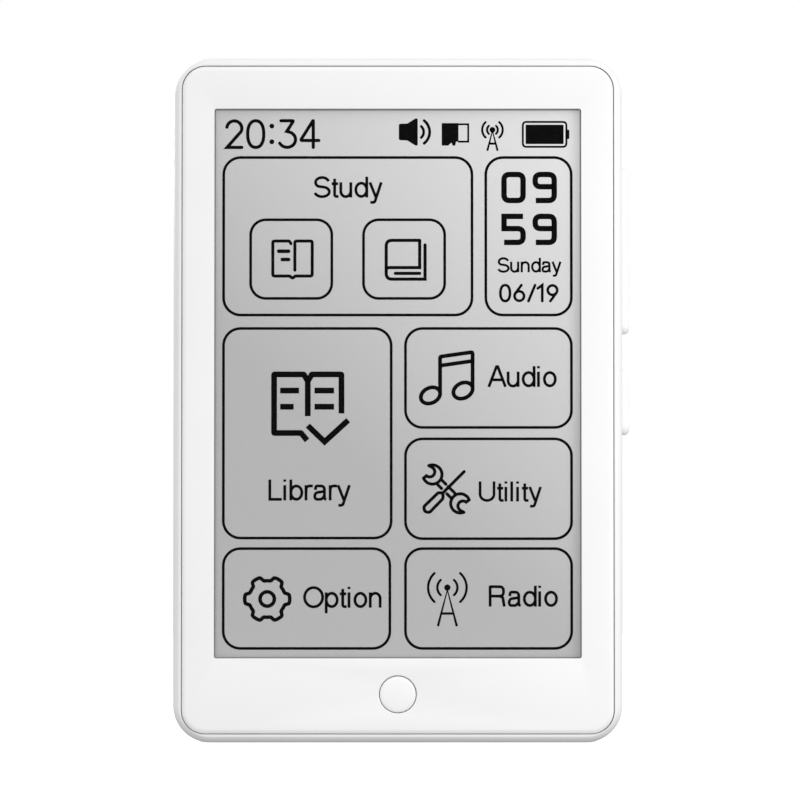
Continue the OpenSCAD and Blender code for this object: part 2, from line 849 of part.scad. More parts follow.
// Pouch cell.
module battery_cell() {
    color("#c3c6c9") stand()
        rblock(battery_x - battery_w / 2, battery_x1, battery_y0, battery_y0 + battery_h, 1.2,
            battery_back, board_front);
}

// Protection board at the foot of the cell.
module battery_board() {
    color("#2f6b4a") stand()
        box([-23, battery_y0 - 1.9, board_back - 0.9], [-11, battery_y0, board_back - 0.1]);
}

// Two leads from the cell to the main board.
module battery_leads() {
    color("#b5322c") stand()
        for (x = [-18.3, -16.7])
            wire_y(x, board_y1 - 1.2, battery_y0 - 1.9, board_back - 0.6, 0.35);
}

// Plug of the battery leads on the main board.
module battery_plug() {
    color("#e6e2d6") stand()
        box([-19.7, board_y1 - 4.4, board_back - 1.3], [-15.3, board_y1 - 1.2, board_back]);
}

// Adhesive strips under the cell, one each side of the flex.
module battery_tape() {
    color("#e9e9e4") stand() {
        box([battery_x - battery_w / 2 + 1, battery_y0 + 1, board_front],
            [flex_x - flex_w / 2 - 1.5, battery_y0 + battery_h - 1, plate_back]);
        box([flex_x + flex_w / 2 + 1.5, battery_y0 + 1, board_front],
            [battery_x1 - 1, battery_y0 + battery_h - 1, plate_back]);
    }
}

// ---- speaker and antenna ---------------------------------------------------------------------------

// Basket of the speaker, open toward the back.
module speaker_frame() {
    color("#2c2d30") stand() difference() {
        box([spk_x - spk_w / 2, spk_y - spk_l / 2, spk_back],
            [spk_x + spk_w / 2, spk_y + spk_l / 2, spk_back + spk_t]);
        box([spk_x - spk_w / 2 + 0.8, spk_y - spk_l / 2 + 0.8, spk_back - 1],
            [spk_x + spk_w / 2 - 0.8, spk_y + spk_l / 2 - 0.8, spk_back + spk_t - 0.5]);
    }
}

// Diaphragm with a raised middle.
module speaker_cone() {
    color("#55585c") stand() {
        box([spk_x - spk_w / 2 + 0.85, spk_y - spk_l / 2 + 0.85, spk_back + 0.5],
            [spk_x + spk_w / 2 - 0.85, spk_y + spk_l / 2 - 0.85, spk_back + 0.7]);
        rblock(spk_x - 4.6, spk_x + 4.6, spk_y - 2.6, spk_y + 2.6, 1.2, spk_back + 0.3, spk_back + 0.5 + eps);
    }
}

// Magnet block behind the diaphragm.
module speaker_magnet() {
    color("#9b9ea2") stand()
        rblock(spk_x - 5, spk_x + 5, spk_y - 3, spk_y + 3, 0.8, spk_back + 0.95, spk_back + spk_t - 0.5);
}

// Foam ring between the speaker and the back cover.
module speaker_gasket() {
    color("#3a3a3c") stand() difference() {
        box([spk_x - spk_w / 2, spk_y - spk_l / 2, cover_in + 0.1],
            [spk_x + spk_w / 2, spk_y + spk_l / 2, spk_back]);
        box([spk_x - spk_w / 2 + 1, spk_y - spk_l / 2 + 1, cover_in - 1],
            [spk_x + spk_w / 2 - 1, spk_y + spk_l / 2 - 1, spk_back + 1]);
    }
}

// Woven sheet behind the sound holes.
module speaker_mesh() {
    color("#1c1c1e") stand()
        box([spk_x - spk_w / 2, spk_y - spk_l / 2, cover_in],
            [spk_x + spk_w / 2, spk_y + spk_l / 2, cover_in + 0.1]);
}

wire_x = battery_x - battery_w / 2 - 0.7;

// Two leads of the speaker along the side of the cell.
module speaker_leads() {
    color("#3b3b3d") stand()
        for (i = [0, 1])
            wire_y(wire_x - 0.8 * i, board_y1 - 1.4, spk_y - 3, board_back - 0.55, 0.3);
}

// Plug of the speaker leads.
module speaker_plug() {
    color("#e6e2d6") stand()
        box([wire_x - 1.8, board_y1 - 4.4, board_back - 1.2], [wire_x + 1.0, board_y1 - 1.4, board_back]);
}

// Flat antenna on the inner plate, with the block its cable is soldered to.
module antenna() {
    color("#b8752c") stand() {
        box([9, body_h - 13, plate_back - 0.12], [25, body_h - 4.6, plate_back]);
        box([battery_x1 - 0.1, body_h - 11, board_back - 1.0], [battery_x1 + 1.5, body_h - 9.4, plate_back]);
    }
}

// Thin cable from the antenna to the main board.
module antenna_cable() {
    color("#26272a") stand()
        wire_y(battery_x1 + 0.7, board_y1 - 1.4, body_h - 11, board_back - 0.5, 0.32);
}

// Plug of the antenna cable.
module antenna_plug() {
    color("#c9b037") stand()
        box([battery_x1 - 0.4, board_y1 - 3.6, board_back - 0.9],
            [battery_x1 + 1.8, board_y1 - 1.4, board_back]);
}
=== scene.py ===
import math

import bmesh
import bpy
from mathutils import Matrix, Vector
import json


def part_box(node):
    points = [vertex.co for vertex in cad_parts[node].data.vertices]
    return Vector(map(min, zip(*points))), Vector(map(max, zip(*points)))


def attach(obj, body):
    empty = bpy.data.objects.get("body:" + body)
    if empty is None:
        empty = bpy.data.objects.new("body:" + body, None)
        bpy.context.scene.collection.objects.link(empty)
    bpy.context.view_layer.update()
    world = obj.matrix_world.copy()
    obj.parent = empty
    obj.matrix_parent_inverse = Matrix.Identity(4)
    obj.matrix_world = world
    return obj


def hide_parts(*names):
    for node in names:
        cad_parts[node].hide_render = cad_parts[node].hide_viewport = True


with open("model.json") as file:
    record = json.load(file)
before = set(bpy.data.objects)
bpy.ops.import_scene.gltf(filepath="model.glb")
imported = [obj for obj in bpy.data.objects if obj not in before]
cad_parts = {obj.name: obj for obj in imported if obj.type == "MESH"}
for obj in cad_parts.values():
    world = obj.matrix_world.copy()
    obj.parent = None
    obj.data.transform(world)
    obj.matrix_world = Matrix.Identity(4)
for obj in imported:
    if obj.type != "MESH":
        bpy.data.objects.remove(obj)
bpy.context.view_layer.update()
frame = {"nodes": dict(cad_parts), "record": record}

# ---- sizes, read from the frame or the same as the part's own ---------------------

MM = 0.001
BODY_LO, BODY_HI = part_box("frame")[0].copy(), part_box("back_cover")[1].copy()
PANEL_LO, PANEL_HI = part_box("front_panel")
GASKET_LO, GASKET_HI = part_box("display_gasket")
FILM_LO, FILM_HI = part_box("touch_film")
BODY_H = BODY_HI.z
FACE_Y = PANEL_LO.y
LIP_Y = BODY_LO.y
SPLIT_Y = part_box("frame")[1].y
BACK_Y = BODY_HI.y
CORNER_R = 5.0 * MM
BAND_W = 0.78 * MM
BAND_R = 2.0 * MM
LIP_W = 0.33 * MM
SEAM_GAP = 0.13 * MM
SEAM_R = 3.2 * MM
BACK_R = BACK_Y - SPLIT_Y
WALL = 1.2 * MM
LEDGE_W = 1.95 * MM
LEDGE_Y = PANEL_HI.y + 0.1 * MM
PLATE_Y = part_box("chassis")[0].y
ROLL_W = 0.65 * MM
ROLL_DROP = 0.25 * MM
WINDOW_R = 0.3 * MM
GASKET_SIDE, GASKET_FOOT, GASKET_TOP = 1.6 * MM, 1.5 * MM, 1.2 * MM
WIN_LO = Vector((GASKET_LO.x + GASKET_SIDE, 0, GASKET_LO.z + GASKET_FOOT))
WIN_HI = Vector((GASKET_HI.x - GASKET_SIDE, 0, GASKET_HI.z - GASKET_TOP))
WIN_W = WIN_HI.x - WIN_LO.x
WIN_H = WIN_HI.z - WIN_LO.z
DISPLAY_Y = FILM_HI.y
HOME_LO, HOME_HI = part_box("home_button")
HOME_UP = (HOME_LO.z + HOME_HI.z) / 2
HOME_R = 2.44 * MM
HOME_GAP = 0.1 * MM
KEY_GAP = 0.16 * MM
KEY_ENDS = 0.32 * MM
TIP_R = 0.0001 * MM
TILE_LINE = 0.37 * MM
INK_Y = DISPLAY_Y - 0.012 * MM
INK_THICK = 0.008 * MM


# ---- mesh makers -------------------------------------------------------------------

def outline(inset, r, steps=14):
    """Rounded outline of the body set in by a distance, as x, z points."""
    return rounded(BODY_LO.x + inset, BODY_HI.x - inset, inset, BODY_H - inset, r, steps)


def rounded(x0, x1, z0, z1, r, steps=14):
    """Rounded rectangle as x, z points, counter-clockwise from the lower right corner."""
    pts = []
    left, right, low, high = x0 + r, x1 - r, z0 + r, z1 - r
    for cx, cz, start in ((right, low, -90), (right, high, 0), (left, high, 90), (left, low, 180)):
        for i in range(steps + 1):
            a = math.radians(start + 90 * i / steps)
            pts.append((cx + r * math.cos(a), cz + r * math.sin(a)))
    return pts


def at_depth(pts, y):
    return [(x, y, z) for x, z in pts]


def in_scene(name, data):
    """New object linked to the scene."""
    obj = bpy.data.objects.new(name, data)
    bpy.context.scene.collection.objects.link(obj)
    return obj


def poured(name, bm):
    """Object that takes over a mesh as it is."""
    me = bpy.data.meshes.new(name)
    bm.to_mesh(me)
    bm.free()
    return in_scene(name, me)


def mesh_object(name, bm):
    """Object from a mesh, its doubles merged and its faces turned outward."""
    bmesh.ops.remove_doubles(bm, verts=bm.verts, dist=1e-8)
    bmesh.ops.recalc_face_normals(bm, faces=bm.faces)
    return poured(name, bm)


def skin(name, rings, tube=False):
    """Closed skin through rings of equal length; a tube joins the last ring to the first."""
    bm = bmesh.new()
    rows = [[bm.verts.new(p) for p in ring] for ring in rings]
    n = len(rows[0])
    pairs = list(zip(rows, rows[1:]))
    if tube:
        pairs.append((rows[-1], rows[0]))
    for a, b in pairs:
        for i in range(n):
            bm.faces.new((a[i], a[(i + 1) % n], b[(i + 1) % n], b[i]))
    if not tube:
        bm.faces.new(rows[0][::-1])
        bm.faces.new(rows[-1])
    return mesh_object(name, bm)


def quarter(n, a0=0.0, a1=90.0):
    """Cosine and sine along an arc."""
    return [(math.cos(math.radians(a0 + (a1 - a0) * i / n)),
             math.sin(math.radians(a0 + (a1 - a0) * i / n))) for i in range(n + 1)]


def lathe(name, profile, x, z, steps=96):
    """Turned piece about an axis along Y; the profile is radius, y from the back to the front."""
    rings = []
    for r, y in profile:
        ring = []
        for i in range(steps):
            a = 2 * math.pi * i / steps
            ring.append((x + r * math.cos(a), y, z + r * math.sin(a)))
        rings.append(ring)
    return skin(name, rings)


def plain_copy(obj):
    """The object with its modifiers baked in, as plain mesh data."""
    dg = bpy.context.evaluated_depsgraph_get()
    dg.update()
    me = bpy.data.meshes.new_from_object(obj.evaluated_get(dg), preserve_all_data_layers=True,
                                         depsgraph=dg)
    old = obj.data
    obj.modifiers.clear()
    obj.data = me
    me.name = obj.name
    if old.users == 0:
        bpy.data.meshes.remove(old)
    return obj


def cut(obj, *cutters):
    """Cuts shapes out of a piece and removes the cutting shapes."""
    for c in cutters:
        m = obj.modifiers.new("cut", "BOOLEAN")
        m.operation = "DIFFERENCE"
        m.solver = "EXACT"
        m.object = c
    bpy.context.view_layer.update()
    plain_copy(obj)
    for c in cutters:
        bpy.data.objects.remove(c)
    return obj


def join(name, objs):
    """One piece from several."""
    bm = bmesh.new()
    for o in objs:
        bm.from_mesh(o.data)
        bpy.data.objects.remove(o)
    return poured(name, bm)


def smooth(obj, angle=32):
    """Smooth shading with hard edges kept over an angle."""
    obj.data.polygons.foreach_set("use_smooth", [True] * len(obj.data.polygons))
    obj.data.set_sharp_from_angle(angle=math.radians(angle))
    return obj


def block(name, lo, hi, edge):
    """Box with lightly rounded edges."""
    bm = bmesh.new()
    bmesh.ops.create_cube(bm, size=1)
    for v in bm.verts:
        v.co = Vector((lo[i] if v.co[i] < 0 else hi[i] for i in range(3)))
    bmesh.ops.bevel(bm, geom=bm.edges[:], offset=edge, segments=3, profile=0.5, affect="EDGES")
    return mesh_object(name, bm)


def settle(obj, body, mat, *nodes, slot=None):
    """Gives a piece its finish and its body, and hides the nodes it stands for."""
    obj.data.materials.clear()
    obj.data.materials.append(mat)
    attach(obj, body)
    if nodes:
        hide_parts(*nodes)
    return obj


# ---- finishes ----------------------------------------------------------------------

class Finish:
    """A material under construction: one principled shader reading object coordinates."""

    def __init__(self, name, color, rough, metallic=0.0, **sockets):
        self.mat = bpy.data.materials.new(name)
        self.mat.use_nodes = True
        self.tree = self.mat.node_tree
        self.tree.nodes.clear()
        self.out = self.tree.nodes.new("ShaderNodeOutputMaterial")
        self.bsdf = self.tree.nodes.new("ShaderNodeBsdfPrincipled")
        self.tree.links.new(self.bsdf.outputs[0], self.out.inputs[0])
        self.bsdf.inputs["Base Color"].default_value = (*color, 1)
        self.bsdf.inputs["Roughness"].default_value = rough
        self.bsdf.inputs["Metallic"].default_value = metallic
        for key, value in sockets.items():
            socket = key.replace("_", " ").title().replace("Ior", "IOR")
            self.bsdf.inputs[socket].default_value = value
        self.coords = self.tree.nodes.new("ShaderNodeTexCoord").outputs["Object"]
        self.color, self.rough = color, rough

    def node(self, kind, **props):
        n = self.tree.nodes.new(kind)
        for k, v in props.items():
            setattr(n, k, v)
        return n

    def link(self, a, b):
        self.tree.links.new(a, b)

    def noise(self, size, detail=3.0, stretch=(1, 1, 1)):
        """Noise whose features are about one size across, in metres."""
        m = self.node("ShaderNodeMapping")
        m.inputs["Scale"].default_value = stretch
        self.link(self.coords, m.inputs["Vector"])
        n = self.node("ShaderNodeTexNoise")
        n.inputs["Scale"].default_value = 1.0 / size
        n.inputs["Detail"].default_value = detail
        self.link(m.outputs[0], n.inputs["Vector"])
        return n.outputs["Fac"]

    def slope(self, value, factor, start):
        """A value times a factor, plus a number or another value."""
        m = self.node("ShaderNodeMath", operation="MULTIPLY_ADD")
        m.inputs[1].default_value = factor
        self.link(value, m.inputs[0])
        if isinstance(start, float):
            m.inputs[2].default_value = start
        else:
            self.link(start, m.inputs[2])
        return m.outputs[0]

    def spread(self, fac, low, high):
        """Stretches the middle of a noise over a range."""
        r = self.node("ShaderNodeMapRange")
        r.inputs["From Min"].default_value = 0.3
        r.inputs["From Max"].default_value = 0.7
        r.inputs["To Min"].default_value = low
        r.inputs["To Max"].default_value = high
        self.link(fac, r.inputs["Value"])
        return r.outputs["Result"]

    def tint(self, fac, other, low=0.0, high=1.0):
        """Base colour wanders between the finish's colour and another."""
        m = self.node("ShaderNodeMix", data_type="RGBA")
        m.inputs["A"].default_value = (*self.color, 1)
        m.inputs["B"].default_value = (*other, 1)
        self.link(self.spread(fac, low, high), m.inputs[0])
        self.link(m.outputs[2], self.bsdf.inputs["Base Color"])
        return self

    def gloss(self, fac, low, high):
        self.link(self.spread(fac, low, high), self.bsdf.inputs["Roughness"])
        return self

    def bump(self, fac, depth, strength=0.3):
        b = self.node("ShaderNodeBump")
        b.inputs["Strength"].default_value = strength
        b.inputs["Distance"].default_value = depth
        self.link(fac, b.inputs["Height"])
        self.link(b.outputs[0], self.bsdf.inputs["Normal"])
        return self


def moulded_white(name, shade, rough, peel, coat=0.0):
    """Glossy moulded plastic: faint cloudiness, uneven gloss and a fine orange peel."""
    f = Finish(name, (shade, shade, shade * 0.996), rough, coat_weight=coat, coat_roughness=0.06,
               specular_ior_level=0.5)
    f.tint(f.noise(9 * MM, 0.5), (shade * 0.985, shade * 0.986, shade * 0.984))
    f.gloss(f.noise(3 * MM, 1), rough * 0.9, rough * 1.12)
    f.bump(f.noise(peel, 1), 0.004 * MM, 0.05)
    return f.mat


# Painted light on the screen: the paper glows with its own grey though it holds no lamp, and a painted
# reflection lifts the grey toward the upper right.
SCREEN_GAIN = 0.675
SCREEN_PAINTED_GLOW = 0.50
GREY_LOW, PAINTED_REFLECTION_RISE = 184, 48


def screen_paper():
    """Electronic paper with painted light: a painted reflection lightens the grey toward the upper right and
    a painted glow lights it from within, over a fine capsule grain.
    """
    f = Finish("screen_paper", (0.48, 0.48, 0.48), 0.62, specular_ior_level=0.25)
    axes = f.node("ShaderNodeSeparateXYZ")
    f.link(f.coords, axes.inputs[0])
    # Painted reflection: the grey is painted lighter toward the right and upward across the window.
    across, upward, middle = 0.62, 1.05, 0.612
    right = f.slope(axes.outputs["X"], across / WIN_W, -WIN_LO.x * across / WIN_W)
    up = f.slope(axes.outputs["Z"], upward / WIN_H,
                 -(WIN_LO.z + WIN_H * middle) * upward / WIN_H + 0.02)
    shade = f.slope(f.noise(0.12 * MM, 2), 0.05, f.slope(right, 1.0, up))
    ramp = f.node("ShaderNodeValToRGB")
    stops = ramp.color_ramp.elements
    stops[0].position, stops[1].position = 0.025, 1.0
    for i in range(1, 4):
        stops.new(i / 4)
    for s in stops:
        level = ((GREY_LOW + PAINTED_REFLECTION_RISE * s.position) / 255) ** 2.2 * SCREEN_GAIN
        s.color = (level, level, level, 1)
    f.link(shade, ramp.inputs[0])
    f.link(ramp.outputs[0], f.bsdf.inputs["Base Color"])
    # Painted glow: the screen shines its painted grey though it holds no lamp.
    f.link(ramp.outputs[0], f.bsdf.inputs["Emission Color"])
    f.bsdf.inputs["Emission Strength"].default_value = SCREEN_PAINTED_GLOW
    f.bump(f.noise(0.08 * MM, 1), 0.002 * MM, 0.15)
    return f.mat


def screen_ink():
    """Black capsules of the screen, not quite even."""
    f = Finish("screen_ink", (0.0005, 0.0005, 0.0005), 0.7, specular_ior_level=0.0)
    f.tint(f.noise(0.1 * MM, 2), (0.003, 0.003, 0.003))
    return f.mat


def touch_cover():
    """Clear satin film over the screen: a pane that only adds a soft sheen."""
    f = Finish("touch_cover", (0.03, 0.03, 0.032), 0.22, specular_ior_level=0.4)
    f.bsdf.inputs["Alpha"].default_value = 0.03
    f.gloss(f.noise(0.2 * MM, 2), 0.19, 0.26)
    f.bump(f.noise(0.06 * MM, 1), 0.001 * MM, 0.1)
    return f.mat


def brushed(name, color, rough, along=(1, 12, 12)):
    f = Finish(name, color, rough, metallic=1.0)
    f.tint(f.noise(0.4 * MM, 4, along), tuple(c * 0.86 for c in color))
    f.gloss(f.noise(0.3 * MM, 4, along), rough * 0.8, rough * 1.25)
    f.bump(f.noise(0.15 * MM, 3, along), 0.002 * MM, 0.25)
    return f.mat


def plain_finish(name, color, rough, grain, other=0.8, depth=0.004, metallic=0.0, **sockets):
    """Small parts: a little mottle in colour and gloss over a fine grain."""
    f = Finish(name, color, rough, metallic, **sockets)
    f.tint(f.noise(grain * 4, 3), tuple(c * other for c in color))
    f.gloss(f.noise(grain * 2, 3), rough * 0.85, min(1.0, rough * 1.15))
    f.bump(f.noise(grain, 2), depth * MM, 0.3)
    return f.mat


def solder_mask():
    """Green board with faint traces under the mask."""
    f = Finish("solder_mask", (0.012, 0.10, 0.05), 0.35, coat_weight=0.4, coat_roughness=0.2)
    wave = f.node("ShaderNodeTexWave", wave_type="BANDS", bands_direction="X")
    wave.inputs["Scale"].default_value = 420
    wave.inputs["Distortion"].default_value = 1.5
    f.link(f.coords, wave.inputs["Vector"])
    f.tint(wave.outputs["Fac"], (0.02, 0.15, 0.075), 0, 0.8)
    f.gloss(f.noise(2 * MM), 0.3, 0.42)
    f.bump(wave.outputs["Fac"], 0.01 * MM, 0.3)
    return f.mat


def woven(name, color):
    """Fine woven mesh."""
    f = Finish(name, color, 0.8)
    brick = f.node("ShaderNodeTexVoronoi", feature="DISTANCE_TO_EDGE")
    brick.inputs["Scale"].default_value = 6000
    f.link(f.coords, brick.inputs["Vector"])
    f.tint(brick.outputs["Distance"], tuple(c * 3 for c in color))
    f.bump(brick.outputs["Distance"], 0.02 * MM, 0.6)
    return f.mat


def make_finishes():
    """One finish for each material slot of the record."""
    return {
        "panel_white": moulded_white("panel_white", 0.90, 0.20, 0.7 * MM, coat=0.35),
        "shell_white": moulded_white("shell_white", 0.86, 0.325, 1.2 * MM, coat=0.15),
        "key_white": moulded_white("key_white", 0.92, 0.24, 0.4 * MM, coat=0.25),
        "gasket_black": plain_finish("gasket_black", (0.24, 0.24, 0.24), 0.75, 0.1 * MM),
        "foam_grey": plain_finish("foam_grey", (0.05, 0.05, 0.052), 0.9, 0.25 * MM, 0.5, 0.03),
        "tape_black": plain_finish("tape_black", (0.02, 0.02, 0.02), 0.6, 0.3 * MM),
        "tape_white": plain_finish("tape_white", (0.7, 0.7, 0.67), 0.6, 0.3 * MM, 0.93),
        "touch_clear": touch_cover(),
        "paper_display": screen_paper(),
        "chip_black": plain_finish("chip_black", (0.02, 0.02, 0.022), 0.5, 0.05 * MM),
        "flex_amber": plain_finish("flex_amber", (0.38, 0.16, 0.03), 0.35, 0.6 * MM, 0.8, 0.003),
        "plate_metal": brushed("plate_metal", (0.62, 0.63, 0.65), 0.35),
        "steel_small": brushed("steel_small", (0.5, 0.5, 0.52), 0.32, (1, 1, 6)),
        "steel_bright": brushed("steel_bright", (0.66, 0.67, 0.69), 0.25, (1, 1, 8)),
        "stem_black": plain_finish("stem_black", (0.018, 0.018, 0.02), 0.45, 0.1 * MM),
        "board_green": solder_mask(),
        "parts_tan": plain_finish("parts_tan", (0.35, 0.24, 0.13), 0.5, 0.2 * MM, 0.6),
        "plug_cream": plain_finish("plug_cream", (0.66, 0.62, 0.5), 0.5, 0.2 * MM, 0.92),
        "contact_gold": plain_finish("contact_gold", (0.83, 0.60, 0.2), 0.22, 0.1 * MM, 0.85, 0.002, 1.0),
        "card_black": plain_finish("card_black", (0.015, 0.015, 0.017), 0.4, 0.15 * MM),
        "cell_silver": plain_finish("cell_silver", (0.7, 0.71, 0.72), 0.32, 0.5 * MM, 0.9, 0.02, 1.0),
        "lead_red": plain_finish("lead_red", (0.4, 0.02, 0.012), 0.4, 0.3 * MM),
        "lead_grey": plain_finish("lead_grey", (0.04, 0.04, 0.042), 0.45, 0.3 * MM),
        "cone_grey": plain_finish("cone_grey", (0.05, 0.05, 0.055), 0.5, 0.4 * MM),
        "mesh_black": woven("mesh_black", (0.012, 0.012, 0.013)),
    }


FINISH = make_finishes()
INK = screen_ink()


def dress_frame_nodes():
    """Every carried-over node takes the finish of its slot."""
    slots = {s["node"]: s["material_slot"] for s in frame["record"]["subparts"]}
    for name, obj in frame["nodes"].items():
        for s in obj.material_slots:
            s.material = FINISH[slots[name]]


# ---- outer pieces --------------------------------------------------------------------

def window_outline(grow):
    """Rounded outline of the window, let out by a distance."""
    return rounded(WIN_LO.x - grow, WIN_HI.x + grow, WIN_LO.z - grow, WIN_HI.z + grow, WINDOW_R + grow)


def make_front_panel():
    """White panel: rolled edge, window with a soft rim, hole for the home button."""
    inset = BAND_W + LIP_W + SEAM_GAP
    r = SEAM_R - SEAM_GAP / 2
    roll = (ROLL_W ** 2 + ROLL_DROP ** 2) / (2 * ROLL_DROP)
    top = math.degrees(math.asin(ROLL_W / roll))
    rings = [at_depth(outline(inset, r), PANEL_HI.y)]
    for c, s in quarter(10, 90 - top, 90):
        side = ROLL_W - roll * c
        ring = outline(inset + side, max(r - side, 1.2 * MM))
        rings.append(at_depth(ring, FACE_Y + roll - roll * s))
    rim = 0.04 * MM
    for c, s in quarter(4, 90, 0):
        grow = rim * (1 - c)
        rings.append(at_depth(window_outline(grow), FACE_Y + rim * (1 - s)))
    rings.append(at_depth(window_outline(0), PANEL_HI.y))
    panel = skin("front_panel_shell", rings, tube=True)
    hole = HOME_R + HOME_GAP
    lip = 0.16 * MM
    profile = [(hole, PANEL_HI.y + MM), (hole, FACE_Y + lip)]
    profile += [(hole + lip * (1 - c), FACE_Y + lip * (1 - s)) for c, s in quarter(5, 0, 90)]
    profile.append((hole + lip, FACE_Y - MM))
    cut(panel, lathe("home_hole", profile, 0, HOME_UP))
    return settle(smooth(panel, 30), "reader", FINISH["panel_white"], "front_panel", slot="panel_white")


def frame_rings():
    """Section of the frame, from its rear outer edge round to the inside."""
    soft = 0.07 * MM
    sin_end = math.sqrt(BAND_R ** 2 - (BAND_R - BAND_W) ** 2)
    end = math.degrees(math.asin(sin_end / BAND_R))
    centre_y = LIP_Y + sin_end
    rings = []
    for c, s in quarter(4, 90, 0):
        d = soft * (1 - c)
        rings.append(at_depth(outline(d, CORNER_R - d), SPLIT_Y - soft * (1 - s)))
    for c, s in quarter(12, 0, end - 2):
        d = BAND_R * (1 - c)
        rings.append(at_depth(outline(d, CORNER_R - d), centre_y - BAND_R * s))
    lip_in = BAND_W + LIP_W
    rings.append(at_depth(outline(BAND_W + 0.04 * MM, CORNER_R - BAND_W - 0.1 * MM), LIP_Y))
    rings.append(at_depth(outline(lip_in - 0.04 * MM, SEAM_R + 0.04 * MM), LIP_Y))
    rings.append(at_depth(outline(lip_in, SEAM_R), LIP_Y + 0.04 * MM))
    rings.append(at_depth(outline(lip_in, SEAM_R), LEDGE_Y))
    rings.append(at_depth(outline(WALL + LEDGE_W, 1.2 * MM), LEDGE_Y))
    rings.append(at_depth(outline(WALL + LEDGE_W, 1.2 * MM), PLATE_Y))
    rings.append(at_depth(outline(WALL, CORNER_R - WALL), PLATE_Y))
    rings.append(at_depth(outline(WALL, CORNER_R - WALL), SPLIT_Y))
    rings.append(at_depth(outline(soft * 1.5, CORNER_R - soft * 1.5), SPLIT_Y))
    return rings


def bar_ring(x, length, width, z, steps=10):
    """Pill outline across Y and Z at one x, long in Z."""
    r = width / 2
    pts = []
    for side, start in ((1, 0), (-1, 180)):
        for i in range(2 * steps + 1):
            a = math.radians(start + 180 * i / (2 * steps))
            pts.append((x, r * math.cos(a), z + side * (length / 2 - r) + r * math.sin(a)))
    return pts


def slot_cutter(name, z, length, width):
    """Pill-shaped cutter through the right wall that rounds the rim of the slot."""
    wall_x, soft = BODY_HI.x, 0.09 * MM
    rings = [bar_ring(x, length, width, z) for x in (wall_x - WALL - 2 * MM, wall_x - soft)]
    for c, s in quarter(4, 0, 90)[1:]:
        g = 2 * soft * (1 - c)
        rings.append(bar_ring(wall_x - soft + soft * s, length + g, width + g, z))
    rings.append(bar_ring(wall_x + MM, length + 2 * soft, width + 2 * soft, z))
    return skin(name, rings)


def port_cutter(name, x, width, height, depth_y, steps=12):
    """Upright cutter through the bottom wall with a rounded rim."""
    soft = 0.1 * MM

    def ring(z, grow):
        r = height / 2 + grow
        half = width / 2 + grow - r
        pts = []
        for side, start in ((1, -90), (-1, 90)):
            for i in range(2 * steps + 1):
                a = math.radians(start + 180 * i / (2 * steps))
                pts.append((x + side * half + r * math.cos(a), depth_y + r * math.sin(a), z))
        return pts

    rings = [ring(WALL + MM, 0), ring(soft, 0)]
    rings += [ring(soft * (1 - s), soft * (1 - c)) for c, s in quarter(4, 0, 90)[1:]]
    rings.append(ring(-MM, soft))
    return skin(name, rings)


def make_frame():
    """Outer frame with its lip, band, key slots and port holes."""
    shell = skin("frame_shell", frame_rings(), tube=True)
    rocker, power = key_places()
    card_lo, card_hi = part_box("memory_card")
    usb_lo, usb_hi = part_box("usb_shell")
    jack_lo, jack_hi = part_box("headphone_jack")
    gap = 0.15 * MM
    flex_lo, flex_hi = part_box("display_flex")
    cutters = [
        slot_cutter("rocker_slot", *rocker),
        slot_cutter("power_slot", *power),
        block("card_gate", (BODY_LO.x - MM, card_lo.y - gap, card_lo.z - gap),
              (BODY_LO.x + WALL + MM, card_hi.y + gap, card_hi.z + gap), 0.1 * MM),
        port_cutter("usb_gate", (usb_lo.x + usb_hi.x) / 2, usb_hi.x - usb_lo.x + 0.2 * MM,
                    usb_hi.y - usb_lo.y + 0.2 * MM, (usb_lo.y + usb_hi.y) / 2),
        port_cutter("jack_gate", (jack_lo.x + jack_hi.x) / 2, 4.12 * MM, 4.12 * MM,
                    (jack_lo.y + jack_hi.y) / 2),
        block("flex_notch", (flex_lo.x - 0.6 * MM, LEDGE_Y + 0.4 * MM, BODY_H - 4 * MM),
              (flex_hi.x + 0.6 * MM, PLATE_Y + MM, BODY_H - 1.3 * MM), 0.05 * MM),
    ]
    cut(shell, *cutters)
    return settle(smooth(shell, 34), "reader", FINISH["shell_white"], "frame", slot="shell_white")


def geometry_tree(name, **inputs):
    """Empty tree with the named inputs and one geometry output."""
    tree = bpy.data.node_groups.new(name, "GeometryNodeTree")
    for key, kind in inputs.items():
        tree.interface.new_socket(key, in_out="INPUT", socket_type="NodeSocket" + kind)
    tree.interface.new_socket("Geometry", in_out="OUTPUT", socket_type="NodeSocketGeometry")
    return tree


